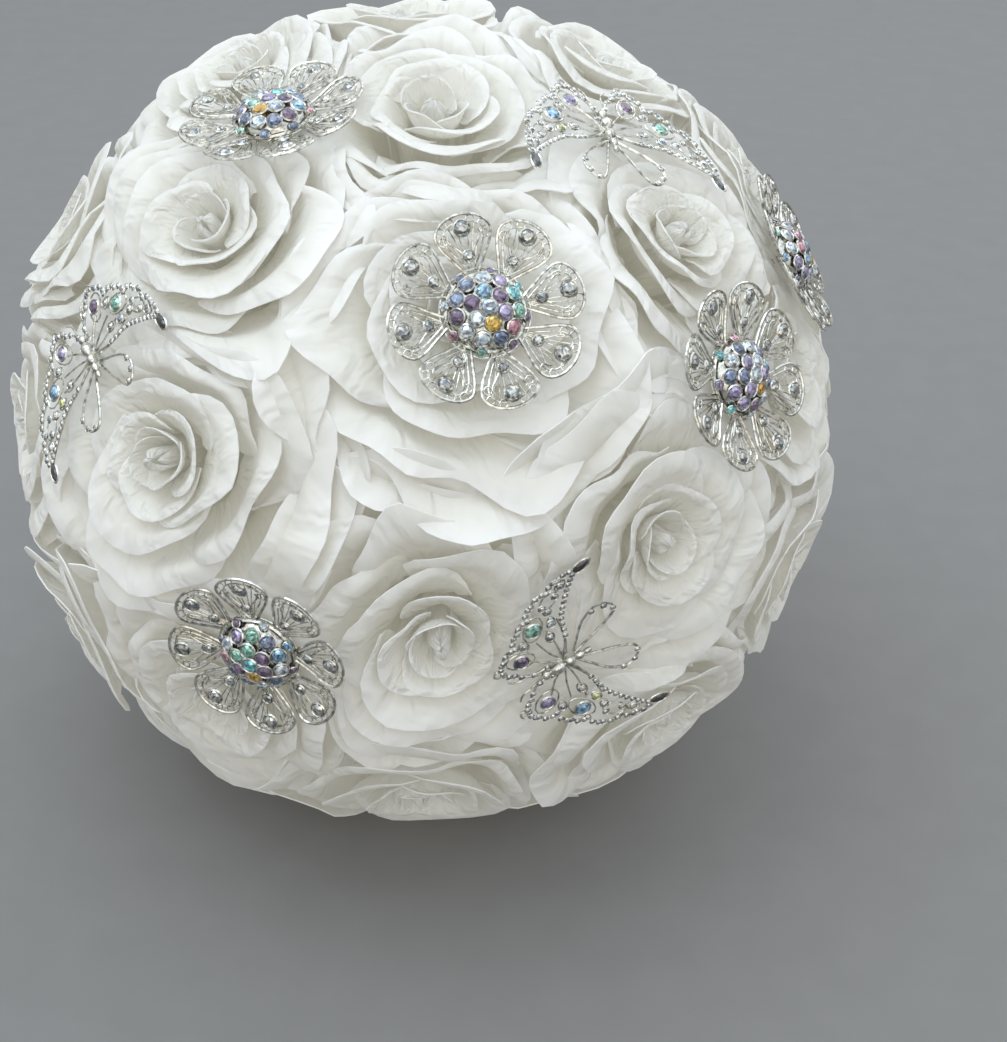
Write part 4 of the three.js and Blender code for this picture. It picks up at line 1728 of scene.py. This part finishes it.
@dataclass
class ButterflyBrooch(Brooch):
    """A wired butterfly: lacy jewelled fore wings, plain looped hind wings and a beaded body.

    Points are those of the right side. veins holds each vein's end and bend; lace the middle,
    radii and tilt of each ring; beads the place along the body, radius and half length.
    """

    pin: Triple = (0.5, -17.0, -34.0)
    edge_wire: float = 0.42
    vein_wire: float = 0.32
    lace_wire: float = 0.28
    curl_wire: float = 0.4
    feeler_wire: float = 0.28
    scallops: Pairs = (
        (2.0, 5.5), (6.0, 14.5), (9.5, 17.0), (13.0, 15.5), (15.5, 10.5), (20.5, 8.0), (23.0, 3.5),
        (27.5, 0.5), (28.8, -5.0), (31.0, -9.5), (31.0, -14.5),
    )
    trailing: Pairs = (
        (31.0, -14.5), (27.5, -11.5), (22.5, -8.0), (17.0, -5.0), (10.0, -3.5), (2.5, -1.0),
    )
    hind: Pairs = (
        (1.2, -3.0), (5.5, -5.5), (11.0, -9.5), (13.6, -14.5), (11.5, -18.6), (8.2, -18.8),
        (5.6, -14.5), (3.4, -9.0),
    )
    veins: tuple[Triple, ...] = (
        (8.5, 9.0, 1.2), (13.0, 4.5, 0.8), (15.5, 0.5, -0.2), (17.5, -3.8, -1.0),
    )
    lace: tuple[tuple[float, float, float, float, float], ...] = (
        (9.8, 11.0, 4.4, 3.0, 1.1), (18.6, 3.4, 4.8, 2.9, -0.5), (25.6, -4.4, 3.6, 2.1, -0.9),
        (14.4, 8.0, 1.9, 1.3, 0.3), (22.0, -2.6, 1.6, 1.2, 0.0), (28.6, -9.4, 2.0, 1.1, -1.1),
        (12.2, 0.4, 2.1, 1.3, -0.2), (17.6, -2.0, 1.9, 1.1, -0.4),
    )
    feeler: Pairs = ((0.5, 8.0), (2.2, 12.0), (2.8, 15.5), (4.6, 17.4))
    hind_stones: Pairs = ((13.0, -13.0), (12.4, -16.8), (9.8, -18.9))
    lace_stones: Pairs = (
        (14.4, 8.0), (22.0, -2.6), (28.6, -9.4), (26.2, -6.6), (24.6, -1.8), (12.2, 0.4),
    )
    coated_stones: tuple[Triple, ...] = ((9.8, 11.0, 2.1), (18.6, 3.4, 2.3), (17.4, -1.8, 1.3))
    left_tints: tuple[Tint, ...] = (Tint.LILAC, Tint.SKY, Tint.LIME)
    right_tints: tuple[Tint, ...] = (Tint.PLUM, Tint.MINT, Tint.ICE)
    tip_stone: tuple[float, float] = (31.2, -17.0)
    beads: tuple[Triple, ...] = (
        (7.0, 1.5, 1.5), (3.2, 1.9, 2.7), (-0.8, 1.6, 2.0), (-4.0, 1.25, 1.7), (-6.6, 0.9, 1.4),
    )

    @staticmethod
    def flat(points: Pairs | Array, side: float, lift: float = 0.0) -> Array:
        """Places points on a wing, which rises a little towards its tip.

        Args:
            points: the points' x and y on the right side.
            side: 1 for the right side and -1 for the left.
            lift: their height above the wing.

        Returns:
            The points.
        """
        x, y = np.array(points, float).T
        return np.stack([x * side, y, 0.5 + 0.07 * np.abs(x) + lift], -1)

    def scalloped(self, side: float) -> list[Array]:
        """Draws the arcs of a fore wing's leading edge.

        Args:
            side: 1 for the right side and -1 for the left.

        Returns:
            The points of each arc.
        """
        arcs = []
        line = self.flat(self.scallops, side)
        for first, last in zip(line[:-1], line[1:]):
            along = last - first
            out = np.array((-along[1], along[0], 0.0)) * side
            steps = np.linspace(0, 1, 6)
            arcs.append(np.array([first + along * t + out * 0.75 * (t - t * t) for t in steps]))
        return arcs

    def wing_wires(self, side: float) -> list[Wire]:
        """Draws the wires of one side: edges, hind wing, veins, lace and feeler.

        Args:
            side: 1 for the right side and -1 for the left.

        Returns:
            The wires.
        """
        wires = [Wire(arc, self.edge_wire) for arc in self.scalloped(side)]
        wires.append(Wire(curve_through(self.flat(self.trailing, side), 3), self.edge_wire))
        hind = curve_through(self.flat(self.hind, side), 3, True)
        wires.append(Wire(hind, self.edge_wire, True))
        for x, y, bend in self.veins:
            rows = ((0.8, 0.8), (x * 0.5, y * 0.5 + bend), (x, y))
            wires.append(Wire(curve_through(self.flat(rows, side), 4), self.vein_wire))
        for x, y, across, along, tilt in self.lace:
            ring = ellipse(12, across, along)
            spun_x = ring[:, 0] * math.cos(tilt) - ring[:, 1] * math.sin(tilt) + x
            spun_y = ring[:, 0] * math.sin(tilt) + ring[:, 1] * math.cos(tilt) + y
            line = self.flat(np.stack([spun_x, spun_y], -1), side)
            wires.append(Wire(line, self.lace_wire, True))
        angle = np.linspace(-1.6, 4.2, 10)
        spiral = 1.5 * (1 - angle / 9)
        curl = np.stack([9.5 + spiral * np.cos(angle), 18.4 + spiral * np.sin(angle)], -1)
        wires.append(Wire(self.flat(curl, side), self.curl_wire))
        wires.append(Wire(curve_through(self.flat(self.feeler, side), 3), self.feeler_wire))
        return wires

    def wires(self) -> list[Wire]:
        """All the wires but the pin."""
        return self.wing_wires(1.0) + self.wing_wires(-1.0)

    def spots(self, random: np.random.Generator) -> Stones:
        """Sets the small bright stones, the coated ones and the smoky wing tips.

        Args:
            random: the brooch's own source of chance.

        Returns:
            The stones.
        """
        def small(points: Array, size: float) -> list[StoneSpot]:
            """Sets a row of bright stones."""
            return [spot(point, size, Tint.BRIGHT) for point in points]

        def spot(point: Array, size: float, tint: Tint) -> StoneSpot:
            """Sets one stone."""
            heading = random.uniform(0.1, 3)
            return StoneSpot(tuple(point), (0.0, 0.0, 1.0), size, tint.value, heading)

        stones = Stones([], [], [])
        for side in (-1.0, 1.0):
            for arc in self.scalloped(side):
                stones.clear.extend(small(arc[:5:2] + np.array((0, 0, 0.55)), 0.85))
            edge = curve_through(self.flat(self.trailing, side, 0.55), 3)
            stones.clear.extend(small(edge[1:-3], 0.8))
            stones.clear.extend(small(self.flat(self.hind_stones, side, 0.7), 0.85))
            stones.clear.extend(small(self.flat(self.lace_stones, side, 0.5), 1.05))
            tints = self.left_tints if side < 0 else self.right_tints
            for (x, y, size), tint in zip(self.coated_stones, tints):
                stones.coated.append(spot(self.flat(((x, y),), side, 0.6)[0], size, tint))
            tip = tuple(self.flat((self.tip_stone,), side, 0.2)[0])
            heading = -1.35 if side > 0 else -1.79
            stones.smoky.append(
                StoneSpot(tip, (0.0, 0.0, 1.0), 1.5, Tint.SMOKE.value, heading, stretch=2.0)
            )
        return stones

    def solids(self) -> list[Item]:
        """Models the head, thorax and ringed abdomen as turned beads.

        Returns:
            Their mesh objects.
        """
        made = []
        for y, radius, length in self.beads:
            deselect()
            bpy.ops.mesh.primitive_uv_sphere_add(segments=12, ring_count=7, radius=1.0)
            local = get_points(active())[:, (0, 2, 1)] * np.array((1.0, 1.0, -1.0))
            local = local * np.array((radius, length, radius)) + np.array((0.0, y, 1.4))
            set_points(active(), to_row(self.seat.put(local)))
            made.append(active())
        return made


# The studio


@dataclass(frozen=True)
class SoftBox:
    """A soft square light that looks at the ball."""

    name: str
    place: Triple
    size: float
    power: float
    colour: Triple

    def hang(self, target: Vector) -> None:
        """Hangs the light and turns it to a target.

        Args:
            target: the point that it looks at.
        """
        light = bpy.data.lights.new(self.name, "AREA")
        light.energy, light.size, light.color = self.power, self.size, self.colour
        aim(linked(self.name, light), Vector(self.place), target - Vector(self.place))


def aim(item: Item, place: Vector, way: Vector) -> None:
    """Puts a camera or light in its place and turns it.

    Args:
        item: the object.
        place: where it goes.
        way: the way it looks.
    """
    item.location = place
    item.rotation_mode = "QUATERNION"
    item.rotation_quaternion = way.to_track_quat("-Z", "Y")


@dataclass(frozen=True)
class Studio:
    """The camera at the photograph's viewing angle, a plain pale floor and soft light.

    The lens and the shifts are the photograph's, in pixels of its longer side.
    """

    distance: float = 0.62
    sensor: float = 36.0
    pixels: float = 1042.0
    lens: float = 1824.9
    shift: tuple[float, float] = (81.5, -111.0)
    exposure: float = -0.53
    gamma: float = 1.2
    floor_size: float = 8.0
    low_sky: Triple = (0.43, 0.40, 0.355)
    high_sky: Triple = (1.23, 1.34, 1.45)
    sky_strength: float = 1.3
    lights: tuple[SoftBox, ...] = (
        SoftBox("key", (-0.4, -0.12, 1.35), 1.0, 9.5, (0.81, 0.925, 1.0)),
        SoftBox("front", (0.0, -1.15, 0.6), 0.9, 2.7, (1.0, 0.90, 0.76)),
        SoftBox("rim", (0.55, 0.85, 0.9), 0.8, 3.0, (0.96, 0.98, 1.0)),
    )

    def build(self) -> None:
        """Sets up the camera, the floor, the world, the lights and the view."""
        middle, axis = Vector(HEAD_MIDDLE * MM), Vector(AXIS)
        data = bpy.data.cameras.new("camera")
        data.sensor_width, data.lens = self.sensor, self.sensor * self.lens / self.pixels
        data.shift_x, data.shift_y = (shift / self.pixels for shift in self.shift)
        camera = linked("camera", data)
        aim(camera, middle + axis * self.distance, -axis)
        scene = bpy.context.scene
        scene.camera = camera
        for light in self.lights:
            light.hang(middle)
        self.floor()
        self.world()
        scene.view_settings.view_transform = "Standard"
        scene.view_settings.exposure = self.exposure
        scene.view_settings.gamma = self.gamma
        scene.cycles.diffuse_bounces = 3
        scene.cycles.max_bounces = 6

    def floor(self) -> None:
        """Lays the plain pale floor."""
        deselect()
        bpy.ops.mesh.primitive_plane_add(size=self.floor_size)
        floor = active()
        floor.name = "floor"
        floor.data.materials.append(FloorPaper().make("floor_paper"))
        floor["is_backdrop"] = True

    def world(self) -> None:
        """Makes a soft grey surrounding, lighter above."""
        world = bpy.data.worlds.new("studio")
        bpy.context.scene.world = world
        nodes = Nodes(world, "Background")
        parts = nodes.add("ShaderNodeSeparateXYZ", Vector=nodes.place["Generated"]).outputs
        sky = nodes.ramp(parts["Z"], (0.0, self.low_sky), (0.8, self.high_sky))
        nodes.set(Color=sky, Strength=self.sky_strength)


def main(cad: tuple[Vector, Vector]) -> None:
    """Builds and dresses the bouquet round the frame.

    Args:
        cad: the CAD model's box, from straight after loading; not used.
    """
    logging.basicConfig(level=logging.INFO, format="%(name)s %(message)s")
    Studio().build()
    petals = PetalFabric().make("petal_fabric")
    for rose in ROSES:
        finish_piece(rose.build(), petals, (f"rose_{rose.number:02d}",))
    stems, ribbon = StemPlastic().make("stem_plastic"), RibbonSatin().make("ribbon_satin")
    finish_piece(StemBundle().build(), stems, ("stem_bundle",))
    finish_piece(RibbonWrap().build(), ribbon, ("ribbon_wrap",))
    tools = Jeweller(
        cut_stone(), setting_ring(), PolishedSilver().make("polished_silver"),
        CutCrystal(0.85).make("clear_rhinestone"), CutCrystal(0.55).make("coated_crystal"),
    )
    for seat in FLOWER_SEATS:
        FlowerBrooch(seat, tools).build()
    for seat in BUTTERFLY_SEATS:
        ButterflyBrooch(seat, tools).build()


if __name__ == "__main__":
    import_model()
    main(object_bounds())
